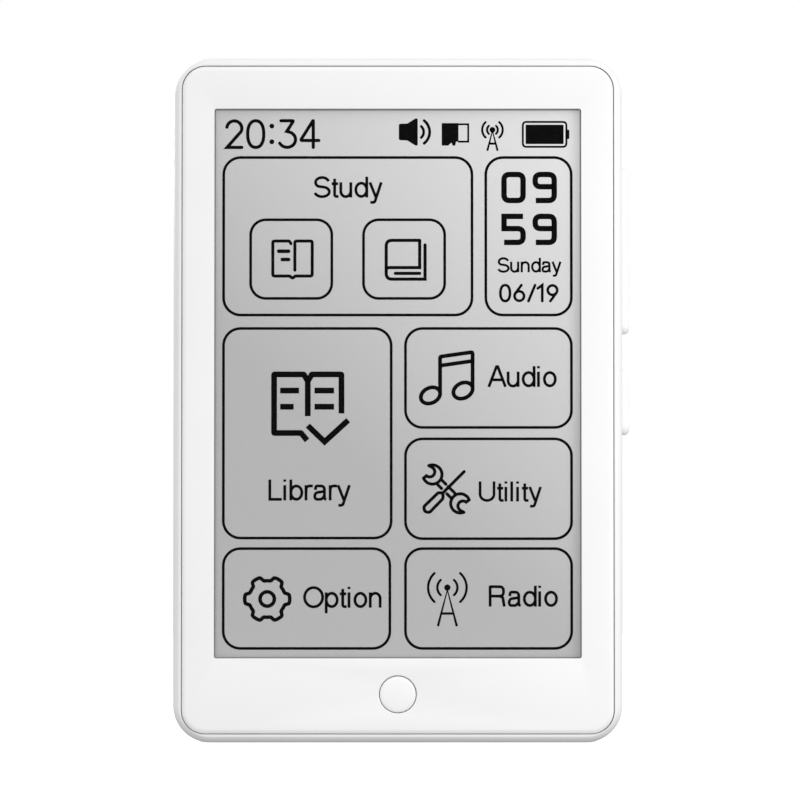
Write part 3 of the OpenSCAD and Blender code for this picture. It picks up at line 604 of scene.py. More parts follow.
def sound_hole_tree():
    """Rows of round cutters for the sound holes."""
    tree = geometry_tree("sound_holes", Columns="Int", Rows="Int", Step="Float", Radius="Float",
                         Depth="Float", Centre="Vector", Finish="Material")
    n, link = tree.nodes.new, tree.links.new
    src, end = n("NodeGroupInput"), n("NodeGroupOutput")

    def calc(op, a, b):
        m = n("ShaderNodeMath")
        m.operation = op
        for i, v in enumerate((a, b)):
            if isinstance(v, (int, float)):
                m.inputs[i].default_value = v
            else:
                link(v, m.inputs[i])
        return m.outputs[0]

    grid = n("GeometryNodeMeshGrid")
    for count, axis in (("Columns", "X"), ("Rows", "Y")):
        span = calc("MULTIPLY", calc("SUBTRACT", src.outputs[count], 1), src.outputs["Step"])
        link(span, grid.inputs["Size " + axis])
        link(src.outputs[count], grid.inputs["Vertices " + axis])
    drill = n("GeometryNodeMeshCylinder")
    drill.inputs["Vertices"].default_value = 28
    link(src.outputs["Radius"], drill.inputs["Radius"])
    link(src.outputs["Depth"], drill.inputs["Depth"])
    place = n("GeometryNodeInstanceOnPoints")
    link(grid.outputs["Mesh"], place.inputs["Points"])
    link(drill.outputs["Mesh"], place.inputs["Instance"])
    real = n("GeometryNodeRealizeInstances")
    link(place.outputs[0], real.inputs[0])
    turn = n("GeometryNodeTransform")
    turn.inputs["Rotation"].default_value = (math.pi / 2, 0, 0)
    link(real.outputs[0], turn.inputs["Geometry"])
    link(src.outputs["Centre"], turn.inputs["Translation"])
    paint = n("GeometryNodeSetMaterial")
    link(turn.outputs[0], paint.inputs["Geometry"])
    link(src.outputs["Finish"], paint.inputs["Material"])
    link(paint.outputs[0], end.inputs[0])
    return tree


def grown(name, tree, values, points=()):
    """Plain mesh grown by a node tree, from points where it needs them; the values go to its inputs."""
    me = bpy.data.meshes.new(name)
    me.from_pydata(list(points), [], [])
    obj = in_scene(name, me)
    mod = obj.modifiers.new("grow", "NODES")
    mod.node_group = tree
    ids = {s.name: s.identifier for s in tree.interface.items_tree if s.in_out == "INPUT"}
    for key, value in values.items():
        mod[ids[key]] = value
    bpy.context.view_layer.update()
    return plain_copy(obj)


def make_back_cover():
    """Rounded back cover with its locating rim and sound holes."""
    soft = 0.07 * MM
    rim_y = SPLIT_Y - 1.2 * MM
    in_y = BACK_Y - 1.0 * MM
    inner = WALL + 0.9 * MM
    rings = [
        at_depth(outline(inner, CORNER_R - inner), in_y),
        at_depth(outline(inner, CORNER_R - inner), rim_y),
        at_depth(outline(WALL + 0.12 * MM, CORNER_R - WALL - 0.12 * MM), rim_y),
        at_depth(outline(WALL + 0.12 * MM, CORNER_R - WALL - 0.12 * MM), SPLIT_Y),
        at_depth(outline(soft * 1.5, CORNER_R - soft * 1.5), SPLIT_Y),
    ]
    for c, s in quarter(4, 0, 90):
        d = soft * (1 - s)
        rings.append(at_depth(outline(d, CORNER_R - d), SPLIT_Y + soft * (1 - c)))
    for c, s in quarter(16, 3, 90):
        d = BACK_R * (1 - c)
        rings.append(at_depth(outline(d, CORNER_R - d), SPLIT_Y + BACK_R * s))
    cover = skin("back_cover_shell", rings)
    lo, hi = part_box("speaker_mesh")
    holes = grown("sound_hole_cutters", sound_hole_tree(), {
        "Columns": 7, "Rows": 3, "Step": 1.8 * MM, "Radius": 0.45 * MM, "Depth": 4 * MM,
        "Centre": ((lo.x + hi.x) / 2, BACK_Y, (lo.z + hi.z) / 2), "Finish": FINISH["shell_white"]})
    notches = []
    side, below = 0.7 * MM, SPLIT_Y - 0.001 * MM
    for node in ("usb_shell", "headphone_jack"):
        a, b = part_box(node)
        lo, hi = (a.x - side, 0, 0.5 * MM), (b.x + side, below, 3.5 * MM)
        notches.append(block("rim_notch", lo, hi, 0.02 * MM))
    cut(cover, holes, *notches)
    return settle(smooth(cover, 34), "reader", FINISH["shell_white"], "back_cover", slot="shell_white")


# ---- buttons -----------------------------------------------------------------------------

def make_home_button():
    """Crowned button with a softly turned edge, flange and post."""
    edge = 0.28 * MM
    crown = 0.12 * MM
    front = FACE_Y + 0.02 * MM
    flange = HOME_R + 0.66 * MM
    flange_y = PANEL_HI.y + 0.05 * MM
    flange_back = GASKET_HI.y + 0.05 * MM
    post = 1.2 * MM
    profile = [(TIP_R, HOME_HI.y), (post, HOME_HI.y), (post, flange_back), (flange, flange_back),
               (flange, flange_y), (HOME_R, flange_y), (HOME_R, front + edge)]
    profile += [(HOME_R - edge * (1 - c), front + edge * (1 - s)) for c, s in quarter(6, 0, 80)]
    for i in range(1, 13):
        t = i / 12
        r = (HOME_R - edge) * (1 - t)
        profile.append((max(r, TIP_R), front - crown * (1 - (r / HOME_R) ** 2)))
    button = lathe("home_button_cap", profile, 0, HOME_UP)
    return settle(smooth(button, 34), "home_key", FINISH["key_white"], "home_button", slot="key_white")


def key_places():
    """Middle height, length and width of the two key slots."""
    places = []
    for node, flange in (("volume_rocker", 1.6 * MM), ("power_button", 1.4 * MM)):
        lo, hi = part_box(node)
        places.append(((lo.z + hi.z) / 2, hi.z - lo.z - flange + KEY_ENDS, hi.y - lo.y + KEY_GAP))
    return places


def make_key(name, node, body, place, back):
    """Side key: a pill-shaped bar with a well rounded outer face, on its CAD flange and feet."""
    z, length, width = place[0], place[1] - KEY_ENDS, place[2] - KEY_GAP
    out_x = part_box(node)[1].x
    r = 0.62 * MM
    rings = [bar_ring(BODY_HI.x - back, length, width, z), bar_ring(out_x - r, length, width, z)]
    for c, s in quarter(8, 0, 90)[1:]:
        d = 2 * r * (1 - c)
        rings.append(bar_ring(out_x - r + r * s, length - d, width - d * 0.8, z))
    bar = skin(name, rings)
    lo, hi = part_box(node)
    y = 0.9 * MM
    flange_x = BODY_HI.x - back
    flange = block("flange", (flange_x - 0.3 * MM, -y, lo.z), (flange_x + 0.2 * MM, y, hi.z), 0.05 * MM)
    spots, half = ((0,), 1.0 * MM) if body == "power_key" else ((-8 * MM, 8 * MM), 0.7 * MM)
    foot_x = BODY_HI.x - WALL - 1.15 * MM
    feet = [block("foot", (foot_x, -y, z + s - half), (flange_x, y, z + s + half), 0.05 * MM)
            for s in spots]
    if body == "rocker":
        rib = 0.6 * MM
        feet.append(block("rib", (lo.x, -y, z - rib), (flange_x, y, z + rib), 0.25 * MM))
    key = join(name, [bar, flange] + feet)
    return settle(smooth(key, 40), body, FINISH["key_white"], node, slot="key_white")


# ---- screen --------------------------------------------------------------------------------

def make_film():
    """Touch film, a thin clear sheet just over the drawn screen."""
    film = block("touch_sheet", FILM_LO, (FILM_HI.x, FILM_HI.y - 0.05 * MM, FILM_HI.z), 0.02 * MM)
    return settle(smooth(film), "reader", FINISH["touch_clear"], "touch_film", slot="touch_clear")


class Pen:
    """Draws flat strokes on the screen. u runs right and v down from the window's top left corner."""

    def __init__(self):
        self.bm = bmesh.new()
        self.u = self.v = 0.0
        self.scale = 1.0
        self.width = 0.28 * MM

    def place(self, u, v, scale, width=None):
        self.u, self.v, self.scale = u, v, scale
        if width:
            self.width = width
        return self

    def spot(self, p):
        return Vector((self.u + p[0] * self.scale, self.v + p[1] * self.scale))

    def vert(self, p):
        return self.bm.verts.new((WIN_LO.x + p.x, INK_Y, WIN_HI.z - p.y))

    def fill(self, pts):
        self.bm.faces.new([self.vert(self.spot(p)) for p in pts])

    def dot(self, p, r, steps=24):
        c = self.spot(p)
        self.bm.faces.new([self.vert(c + r * Vector((math.cos(a), math.sin(a))))
                           for a in (2 * math.pi * i / steps for i in range(steps))])

    def line(self, pts, width=None, closed=False, round_ends=True):
        """Stroke along points, with mitred joints and rounded or square ends."""
        half = (width or self.width) / 2
        path = [self.spot(p) for p in pts]
        clean = [path[0]]
        for p in path[1:]:
            if (p - clean[-1]).length > 1e-7:
                clean.append(p)
        if closed and (clean[0] - clean[-1]).length < 1e-7:
            clean.pop()
        path, n = clean, len(clean)

        def normal(i):
            d = (path[(i + 1) % n] - path[i % n]).normalized()
            return Vector((-d.y, d.x))

        left, right = [], []
        for i, p in enumerate(path):
            first = normal(i - 1) if closed or i > 0 else normal(i)
            last = normal(i) if closed or i < n - 1 else normal(i - 1)
            m = first + last
            m = m * (2 / max(m.length_squared, 0.6))
            left.append(self.vert(p + m * half))
            right.append(self.vert(p - m * half))
        for i in range(n if closed else n - 1):
            j = (i + 1) % n
            self.bm.faces.new((left[i], left[j], right[j], right[i]))
        if round_ends and not closed:
            self.cap(path[0], -normal(0), half, right[0], left[0])
            self.cap(path[-1], normal(n - 2), half, left[-1], right[-1])

    def cap(self, centre, side, half, start, end):
        pts = []
        base = math.atan2(side.y, side.x)
        for i in range(1, 9):
            a = base - math.pi * i / 9
            pts.append(self.vert(centre + half * Vector((math.cos(a), math.sin(a)))))
        self.bm.faces.new([start] + pts + [end])

    def finish(self, name, thick):
        """The whole drawing as one thin closed layer facing the front."""
        bmesh.ops.triangulate(self.bm, faces=self.bm.faces[:])
        self.bm.normal_update()
        bmesh.ops.reverse_faces(self.bm, faces=[f for f in self.bm.faces if f.normal.y > 0])
        front = self.bm.faces[:]
        backs = bmesh.ops.duplicate(self.bm, geom=self.bm.verts[:] + self.bm.edges[:] + front)
        made = backs["face_map"]
        twin = {}
        for f in front:
            for a, b in zip(f.verts, made[f].verts):
                twin[a] = b
        for v in twin.values():
            v.co.y += thick
        rims = [e for e in self.bm.edges if e.is_boundary and e.verts[0] in twin]
        for e in rims:
            a, b = e.verts
            if e.link_loops[0].vert is not a:
                a, b = b, a
            self.bm.faces.new((b, a, twin[a], twin[b]))
        bmesh.ops.reverse_faces(self.bm, faces=[made[f] for f in front])
        return poured(name, self.bm)


def loop(cx, cy, rx, ry, start=0, end=360, steps=24):
    """Part of an oval; the angles run counter-clockwise where y goes up, clockwise where v goes down."""
    turns = [math.radians(start + (end - start) * i / steps) for i in range(steps + 1)]
    return [(cx + rx * math.cos(a), cy + ry * math.sin(a)) for a in turns]


def bow(cx, cy, r, a0, a1, steps=14, squash=1.0):
    """Part of a circle, or of a squashed one."""
    return loop(cx, cy, r, r * squash, a0, a1, steps)


def eased(pts, r, closed=False, steps=5):
    """Polyline with its corners rounded to a radius."""
    pts = [Vector(p) for p in pts]
    n = len(pts)
    out = []
    for i, p in enumerate(pts):
        if not closed and i in (0, n - 1):
            out.append(p)
            continue
        a, b = pts[i - 1] - p, pts[(i + 1) % n] - p
        turn = math.pi - a.angle(b)
        if turn < 0.02:
            out.append(p)
            continue
        cut_back = min(r * math.tan(turn / 2), a.length * 0.49, b.length * 0.49)
        s, e = p + a.normalized() * cut_back, p + b.normalized() * cut_back
        for k in range(steps + 1):
            t = k / steps
            out.append(s * (1 - t) ** 2 + p * 2 * t * (1 - t) + e * t ** 2)
    return [(q.x, q.y) for q in out]


def tile(pen, u0, v0, u1, v1, r=2.3 * MM):
    pts = []
    left, right, top, low = u0 + r, u1 - r, v0 + r, v1 - r
    for cu, cv, start in ((right, top, -90), (right, low, 0), (left, low, 90), (left, top, 180)):
        pts += bow(cu, cv, r, start, start + 90, 10)
    pen.place(0, 0, 1).line(pts, TILE_LINE, closed=True)


def rounder(cx, cy, rx, ry, steps=32):
    """Closed oval a little fuller than an ellipse."""
    ring = []
    for i in range(steps):
        a = 2 * math.pi * i / steps
        ring.append((cx + rx * math.copysign(abs(math.cos(a)) ** 0.88, math.cos(a)),
                     cy + ry * math.copysign(abs(math.sin(a)) ** 0.88, math.sin(a))))
    return ring


def thin_digit(pen, sign, u, v, w, h, width):
    """Round thin numerals, w wide and h high."""
    pen.place(u, v, h, width)
    k = w / h
    r = k / 2
    shapes = {
        "0": [rounder(r, 0.5, r, 0.5)],
        "1": [[(k * 0.15, 0.2), (k * 0.62, 0), (k * 0.62, 1)]],
        "2": [bow(r, r * 1.02, r, 190, 385, 16) + [(0.01, 1), (k, 1)]],
        "3": [eased([(0.02, 0), (k * 0.88, 0), (k * 0.42, 0.40)], 0.03)
              + bow(r * 0.90, 0.705, r * 1.12, -70, 152, 16, 0.93)],
        "4": [eased([(k * 0.72, 0), (-k * 0.04, 0.74), (k * 1.08, 0.74)], 0.04),
              [(k * 0.74, 0), (k * 0.74, 1)]],
        "6": [bow(r, 1 - r * 1.05, r, 0, 360, 22), [(0.03, 0.55), (k * 0.72, 0)]],
        "9": [bow(r, r * 1.05, r, 0, 360, 22), [(k - 0.03, 0.45), (k * 0.28, 1)]],
        "/": [[(0, 1), (k, 0)]],
    }
    for path in shapes[sign]:
        pen.line(path, closed=path[0] == path[-1] or sign == "0")


def bold_digit(pen, sign, u, v, w, h, width):
    """Squared heavy numerals with rounded corners."""
    pen.place(u, v, 1, width)
    r = w * 0.3
    mid = h * 0.47
    shapes = {
        "0": [(0, 0), (w, 0), (w, h), (0, h)],
        "5": [(0.01 * w, mid), (w, mid), (w, h), (0, h)],
        "9": [(w, mid), (0, mid), (0, 0), (w, 0), (w, h), (0.03 * w, h)],
    }
    if sign == "5":
        pen.line([(w, 0), (0, 0), (0, mid + width / 2)], round_ends=False)
    closed = sign == "0"
    pen.line(eased(shapes[sign], r, closed, 8), closed=closed, round_ends=False)


def letter_shapes():
    """Advance and strokes of each plain letter, the capital height being one and y up."""
    low, x_top, mid, rise = 0.05, 0.69, 0.37, 0.32
    tall = x_top + 0.04
    ring = loop(0.37, mid, 0.28, rise)
    post = [(0.10, 0), (0.10, tall)]
    arch = [(0.10, 0.46)] + loop(0.355, 0.44, 0.25, 0.25, 165, 0, 14) + [(0.605, 0)]
    return {
        "S": (0.93, [loop(0.46, 0.725, 0.335, 0.235, 12, 232, 18)
                     + loop(0.46, 0.275, 0.37, 0.235, 62, -168, 20)]),
        "t": (0.39, [eased([(0.17, 0.90), (0.17, low), (0.37, low)], 0.10), [(0.02, 0.66), (0.35, 0.66)]]),
        "u": (0.77, [[(0.605, 0), (0.605, tall)], [(0.70 - x, tall - y) for x, y in arch]]),
        "d": (0.77, [ring, [(0.65, 0), (0.65, 1)]]),
        "y": (0.70, [[(0.04, tall), (0.335, 0.03)],
                     eased([(0.62, tall), (0.28, -0.235), (0.06, -0.235)], 0.12)]),
        "L": (0.77, [[(0.11, 1), (0.11, low), (0.72, low)]]),
        "i": (0.31, [[(0.10, 0), (0.10, tall)], [(0.10, 0.89), (0.10, 1)]]),
        "l": (0.31, [[(0.10, 0), (0.10, 1)]]),
        "b": (0.77, [[(0.10, 0), (0.10, 1)], loop(0.38, mid, 0.28, rise)]),
        "p": (0.77, [[(0.10, -0.27), (0.10, tall)], loop(0.38, mid, 0.28, rise)]),
        "r": (0.46, [post, eased([(0.10, 0.36), (0.12, x_top), (0.45, x_top)], 0.20)]),
        "n": (0.77, [post, arch]),
        "a": (0.77, [eased([(0.12, 0.50), (0.14, x_top), (0.58, x_top), (0.58, 0.08), (0.68, 0.04)],
                           0.20, False, 8),
                     eased([(0.58, 0.43), (0.10, 0.36), (0.08, low), (0.44, low), (0.58, 0.22)],
                           0.18, False, 8)]),
        "o": (0.77, [ring]),
        "A": (0.93, [[(0.04, 0), (0.43, 0.97), (0.50, 0.97), (0.89, 0)], [(0.18, 0.34), (0.75, 0.34)]]),
        "U": (1.00, [[(0.12, 1), (0.12, 0.36)] + loop(0.49, 0.36, 0.37, 0.31, 180, 360, 18) + [(0.86, 1)]]),
        "O": (1.08, [loop(0.54, 0.5, 0.46, 0.46, 0, 360, 32)]),
        "R": (1.00, [[(0.12, 0), (0.12, 1)],
                     eased([(0.12, 0.95), (0.80, 0.95), (0.80, 0.50), (0.12, 0.50)], 0.20, False, 8),
                     eased([(0.55, 0.50), (0.76, 0.46), (0.84, 0)], 0.10)]),
    }


LETTERS = letter_shapes()


def label(pen, word, u, v, caps, middle=False, squeeze=0.94, weight=0.138):
    """Plain lettering on a base line; u is its left end, or its middle."""
    wide = sum(LETTERS[c][0] for c in word) * caps * squeeze
    at = u - wide / 2 if middle else u
    for c in word:
        advance, strokes = LETTERS[c]
        for path in strokes:
            points = [(x * squeeze, -y) for x, y in path]
            shut = (Vector(path[0]) - Vector(path[-1])).length < 1e-6
            pen.place(at, v, caps, caps * weight).line(points, closed=shut, round_ends=False)
        at += advance * caps * squeeze


def speaker_sign(pen, u, v, s):
    pen.place(u, v, s)
    pen.fill(eased([(0.01, 0.18), (0.28, 0.17), (0.55, 0), (0.61, 0.02), (0.61, 0.86), (0.55, 0.88),
                    (0.28, 0.71), (0.01, 0.70)], 0.06, True))
    pen.line(bow(0.56, 0.44, 0.24, -48, 48, 8), 0.36 * MM)
    pen.line(bow(0.53, 0.44, 0.46, -52, 52, 12), 0.38 * MM)


def card_sign(pen, u, v, s):
    pen.place(u, v, s)
    pen.fill([(0, 0), (0.72, 0), (0.72, 0.80), (0.62, 0.80), (0.58, 0.97), (0.47, 0.97), (0.42, 0.84),
              (0.34, 0.84), (0.28, 0.97), (0, 0.97)])
    pen.line([(0.70, 0.05), (1.14, 0.05), (1.14, 0.80), (0.70, 0.80)], 0.26 * MM, round_ends=False)


def mast_sign(pen, u, v, s, width):
    """Plain aerial mast with waves on both sides."""
    pen.place(u, v, s, width)
    pen.dot((0.5, 0.40), width * 1.3)
    pen.line([(0.28, 1.30), (0.5, 0.46), (0.72, 1.30)])
    pen.line([(0.36, 1.02), (0.64, 1.02)])
    for r in (0.24, 0.46):
        for side in (0, 180):
            pen.line(bow(0.5, 0.40, r, side - 48, side + 48, 12))


def cell_sign(pen, u, v, w, h):
    pen.place(u, v, 1)
    pen.line(eased([(0, 0), (w, 0), (w, h), (0, h)], 0.5 * MM, True), 0.27 * MM, closed=True)
    g = 0.38 * MM
    pen.fill(eased([(g, g), (w - g, g), (w - g, h - g), (g, h - g)], 0.1 * MM, True))
    pen.line([(w + 0.22 * MM, h * 0.36), (w + 0.22 * MM, h * 0.64)], 0.36 * MM)


def open_book_sign(pen, u, v, s):
    pen.place(u, v, s, 0.42 * MM)
    pen.line(eased([(0.46, 0.07), (0.42, 0), (0, 0), (0, 0.89), (0.43, 0.89), (0.50, 0.95), (0.57, 0.89),
                    (1, 0.89), (1, 0), (0.56, 0), (0.56, 0.74)], 0.05))
    pen.line([(0.15, 0.26), (0.40, 0.26)], 0.50 * MM)
    pen.line([(0.24, 0.47), (0.40, 0.47)], 0.50 * MM)


def shut_book_sign(pen, u, v, s):
    """Standing book with a rounded spine and its pages showing below the cover."""
    pen.place(u, v, s, 0.44 * MM)
    pen.line(eased([(0.84, 0.03), (0.03, 0.03), (0.03, 0.97), (0.97, 0.97)], 0.14, False, 7) + [(0.97, 0.14)])
    pen.line([(0.84, 0.03)] + eased([(0.84, 0.69), (0.03, 0.69), (0.03, 0.85)], 0.14, False, 7))
    pen.line([(0.25, 0.83), (0.84, 0.83)])


def big_book_sign(pen, u, v, s):
    """Open book with lines of writing and a tick."""
    pen.place(u, v, s, 0.78 * MM)
    pen.line([(0.50, 0.66), (0.50, 0.12)], round_ends=False)
    left_page = [(0.50, 0.14), (0.44, 0.04), (0.0, 0.04), (0.0, 0.91), (0.40, 0.91), (0.49, 1.02)]
    pen.line(eased(left_page, 0.012), round_ends=False)
    pen.line(eased([(0.50, 0.14), (0.56, 0.04), (1.0, 0.04), (1.0, 0.62)], 0.012), round_ends=False)
    for a, b, h in ((0.09, 0.37, 0.28), (0.09, 0.29, 0.52), (0.60, 0.89, 0.28), (0.60, 0.89, 0.52)):
        pen.line([(a, h), (b, h)], round_ends=False)
    pen.line([(0.50, 0.80), (0.75, 1.04), (1.10, 0.72)], round_ends=False)


def note_sign(pen, u, v, s):
    pen.place(u, v, s, 0.53 * MM)
    for cx, cy in ((0.19, 0.81), (0.79, 0.72)):
        ring = [(cx + 0.178 * math.cos(a), cy + 0.146 * math.sin(a) - 0.035 * math.cos(a))
                for a in (2 * math.pi * i / 26 for i in range(26))]
        pen.line(ring, closed=True)
    pen.line(eased([(0.367, 0.79), (0.367, 0.095), (0.966, 0.01), (0.966, 0.70)], 0.03))
    pen.line([(0.367, 0.26), (0.966, 0.175)])


def tools_sign(pen, u, v, s):
    """Open-ended wrench crossed with a screwdriver."""
    pen.place(u, v, s, 0.43 * MM)
    for flip in (0, 1):
        def at(pts):
            return [(1 - x, 1 - y) if flip else (x, y) for x, y in pts]
        head = bow(0.21, 0.20, 0.20, -112, 158, 20)
        jaw = bow(0.155, 0.145, 0.105, 130, -60, 10)
        pen.line(at([head[-1]] + jaw + [head[0]]))
        pen.line(at(head))
        pen.line(at([(0.32, 0.41), (0.40 + 0.06 * flip, 0.49 + 0.06 * flip)]))
        pen.line(at([(0.41, 0.32), (0.49, 0.40)]))
    pen.line([(0.87, 0.14), (0.42, 0.59)])
    handle = [(0.33, 0.58), (0.03, 0.87), (0.05, 0.97), (0.15, 0.99), (0.43, 0.70), (0.43, 0.58)]
    pen.line(eased(handle, 0.06, True), closed=True)


def gear_sign(pen, u, v, s):
    pen.place(u, v, s, 0.50 * MM)
    rim = []
    for i in range(120):
        a = 2 * math.pi * i / 120
        r = 0.455 + 0.048 * math.tanh(3.2 * math.cos(6 * a))
        rim.append((0.5 + r * math.cos(a), 0.5 + r * math.sin(a)))
    pen.line(rim, closed=True)
    pen.line(loop(0.5, 0.5, 0.16, 0.16, steps=28), closed=True)


def status_bar(pen):
    """Clock and status signs along the top of the screen."""
    top, high = 0.0208 * WIN_H, 0.0487 * WIN_H
    for sign, u, w in (("2", 0.0330, 0.0410), ("0", 0.0900, 0.0440), ("3", 0.1795, 0.0409),
                       ("4", 0.2361, 0.0447)):
        thin_digit(pen, sign, u * WIN_W, top, w * WIN_W, high, 0.45 * MM)
    pen.place(0, 0, 1)
    for part in (0.2, 0.79):
        pen.dot((0.1560 * WIN_W, top + part * high), 0.33 * MM)
    speaker_sign(pen, 0.5020 * WIN_W, top - 0.35 * MM, 0.0860 * WIN_W)
    card_sign(pen, 0.6200 * WIN_W, top + 0.32 * MM, high * 0.87)
    mast_sign(pen, 0.7280 * WIN_W, top + 0.02 * MM, 0.0610 * WIN_W, 0.30 * MM)
    cell_sign(pen, 0.8415 * WIN_W, top + 0.16 * MM, 0.1190 * WIN_W, 0.0455 * WIN_H)


def tile_frames(pen):
    """Rounded frames of the seven tiles and of the two books' buttons."""
    left, right = 0.0248 * WIN_W, 0.9735 * WIN_W
    top, first_end = 0.0880 * WIN_H, 0.3755 * WIN_H
    second, second_end = 0.4000 * WIN_H, 0.7815 * WIN_H
    upper_end, lower = 0.5803 * WIN_H, 0.6011 * WIN_H
    third, third_end = 0.8007 * WIN_H, 0.9820 * WIN_H
    mid_end, mid_start = 0.4820 * WIN_W, 0.5210 * WIN_W
    tile(pen, left, top, 0.7025 * WIN_W, first_end)
    tile(pen, 0.7402 * WIN_W, top, right, first_end)
    tile(pen, left, second, mid_end, second_end)
    tile(pen, mid_start, second, right, upper_end)
    tile(pen, mid_start, lower, right, second_end + 0.0012 * WIN_H)
    tile(pen, left, third, 0.4785 * WIN_W, third_end)
    tile(pen, mid_start, third, right, third_end)
    inner, inner_top, inner_high = 0.2215 * WIN_W, 0.2017 * WIN_H, 0.1435 * WIN_H
    for u in (0.0985 * WIN_W, 0.4065 * WIN_W):
        tile(pen, u, inner_top, u + inner, inner_top + inner_high, 2.05 * MM)


def date_tile(pen):
    """Large minutes and hours over the weekday and the date."""
    w, h = 0.0520 * WIN_W, 0.0475 * WIN_H
    for line, pair in enumerate(("09", "59")):
        for col, sign in enumerate(pair):
            u, v = (0.7900 + col * 0.0850) * WIN_W, (0.1190 + line * 0.0765) * WIN_H
            bold_digit(pen, sign, u, v, w, h, 0.74 * MM)
    label(pen, "Sunday", 0.8590 * WIN_W, 0.2975 * WIN_H, 0.0265 * WIN_H, middle=True, weight=0.155)
    u, small = 0.7800 * WIN_W, 0.0290 * WIN_H
    for sign, du, wide in (("0", 0, 0.026), ("6", 0.0385, 0.026), ("/", 0.0765, 0.018), ("1", 0.098, 0.026),
                           ("9", 0.129, 0.026)):
        thin_digit(pen, sign, u + du * WIN_W, 0.3210 * WIN_H, wide * WIN_W, small, 0.37 * MM)


def draw_screen():
    """The home screen: tiles, signs and plain labels."""
    pen = Pen()
    status_bar(pen)
    tile_frames(pen)
    open_book_sign(pen, 0.1590 * WIN_W, 0.2405 * WIN_H, 0.1075 * WIN_W)
    shut_book_sign(pen, 0.4650 * WIN_W, 0.2370 * WIN_H, 0.1128 * WIN_W)
    caps = 0.0380 * WIN_H
    label(pen, "Study", 0.3640 * WIN_W, 0.1610 * WIN_H, caps, middle=True)
    date_tile(pen)
    big_book_sign(pen, 0.1628 * WIN_W, 0.4788 * WIN_H, 0.1837 * WIN_W)
    label(pen, "Library", 0.2590 * WIN_W, 0.7130 * WIN_H, caps, middle=True)
    note_sign(pen, 0.5610 * WIN_W, 0.4420 * WIN_H, 0.1480 * WIN_W)
    label(pen, "Audio", 0.7460 * WIN_W, 0.5065 * WIN_H, caps)
    tools_sign(pen, 0.5668 * WIN_W, 0.6485 * WIN_H, 0.1310 * WIN_W)
    label(pen, "Utility", 0.7180 * WIN_W, 0.7150 * WIN_H, caps * 0.96)
    gear_sign(pen, 0.0836 * WIN_W, 0.8515 * WIN_H, 0.1219 * WIN_W)
    label(pen, "Option", 0.2420 * WIN_W, 0.9080 * WIN_H, caps)
    mast_sign(pen, 0.5780 * WIN_W, 0.8410 * WIN_H, 0.1140 * WIN_W, 0.33 * MM)
    label(pen, "Radio", 0.7450 * WIN_W, 0.9060 * WIN_H, caps)
    return settle(pen.finish("screen_drawing", INK_THICK), "reader", INK)


# ---- screws ------------------------------------------------------------------------------------

def screw_blank(seat, shank, head_r, head_h, r):
    """One screw with its head toward the back, turned and with a cross cut in the head."""
    profile = [(TIP_R, seat - shank), (r * 0.6, seat - shank)]
    turns, bare = 7, 0.08 * MM
    for i in range(turns * 2 + 1):
        y = seat - shank + bare + (shank - 2 * bare) * i / (turns * 2)
        profile.append((r * (0.86 if i % 2 else 0.99), y))
    top = seat + head_h
    profile += [(head_r, seat), (head_r, seat + head_h * 0.6), (head_r * 0.86, top), (TIP_R, top)]
    screw = lathe("screw_blank", profile, 0, 0, 32)
    arm, half, sink = 0.5 * MM, 0.11 * MM, 0.25 * MM
    bars = [block("cross_bar", (-x, top - sink, -z), (x, top + MM, z), 0.01 * MM)
            for x, z in ((arm, half), (half, arm))]
    return smooth(cut(screw, *bars), 30)


def screw_tree():
    """A screw on every point of a small set of points."""
    tree = geometry_tree("screw_set", Points="Geometry", Screw="Object", Turn="Float", Seed="Int",
                         Finish="Material")
    n, link = tree.nodes.new, tree.links.new
    src, end = n("NodeGroupInput"), n("NodeGroupOutput")
    info = n("GeometryNodeObjectInfo")
    link(src.outputs["Screw"], info.inputs["Object"])
    turn = n("FunctionNodeRandomValue")
    turn.data_type = "FLOAT"
    link(src.outputs["Turn"], turn.inputs[3])
    link(src.outputs["Seed"], turn.inputs["Seed"])
    axis = n("ShaderNodeCombineXYZ")
    link(turn.outputs[1], axis.inputs["Y"])
    place = n("GeometryNodeInstanceOnPoints")
    link(src.outputs["Points"], place.inputs["Points"])
    link(info.outputs["Geometry"], place.inputs["Instance"])
    link(axis.outputs[0], place.inputs["Rotation"])
    real = n("GeometryNodeRealizeInstances")
    link(place.outputs[0], real.inputs[0])
    paint = n("GeometryNodeSetMaterial")
    link(real.outputs[0], paint.inputs["Geometry"])
    link(src.outputs["Finish"], paint.inputs["Material"])
    link(paint.outputs[0], end.inputs[0])
    return tree


def make_screws(name, node, spots, seat, shank, head_r, head_h, tree):
    """All screws of one node, each turned its own way."""
    blank = screw_blank(seat, shank, head_r, head_h, 0.45 * MM)
    steel = FINISH["steel_small"]
    values = {"Screw": blank, "Turn": 1.5, "Seed": 4, "Finish": steel}
    screws = grown(name, tree, values, [(x, 0, z) for x, z in spots])
    bpy.data.objects.remove(blank)
    return settle(smooth(screws, 30), "reader", steel, node, slot="steel_small")


def make_all_screws():
    tree = screw_tree()
    side = BODY_HI.x - 2.35 * MM
    spots = [(s * side, z) for z in (9 * MM, 34 * MM, BODY_H - 8.1 * MM) for s in (-1, 1)]
    spots += [(-20 * MM, BODY_H - 2.25 * MM), (20 * MM, BODY_H - 2.25 * MM)]
    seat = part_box("chassis")[0].y + 0.5 * MM
    make_screws("plate_screws", "chassis_screws", spots, seat, 1.7 * MM, 0.88 * MM, 0.5 * MM, tree)
    lo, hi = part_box("main_board")
    spots = [(lo.x + 1.6 * MM, 4.2 * MM), (hi.x - 1.6 * MM, 4.2 * MM), (9.8 * MM, hi.z - 1.8 * MM)]
    make_screws("board_screw_set", "board_screws", spots, hi.y, 1.4 * MM, 1.1 * MM, 0.55 * MM, tree)


# ---- floor, light and camera ---------------------------------------------------------------------

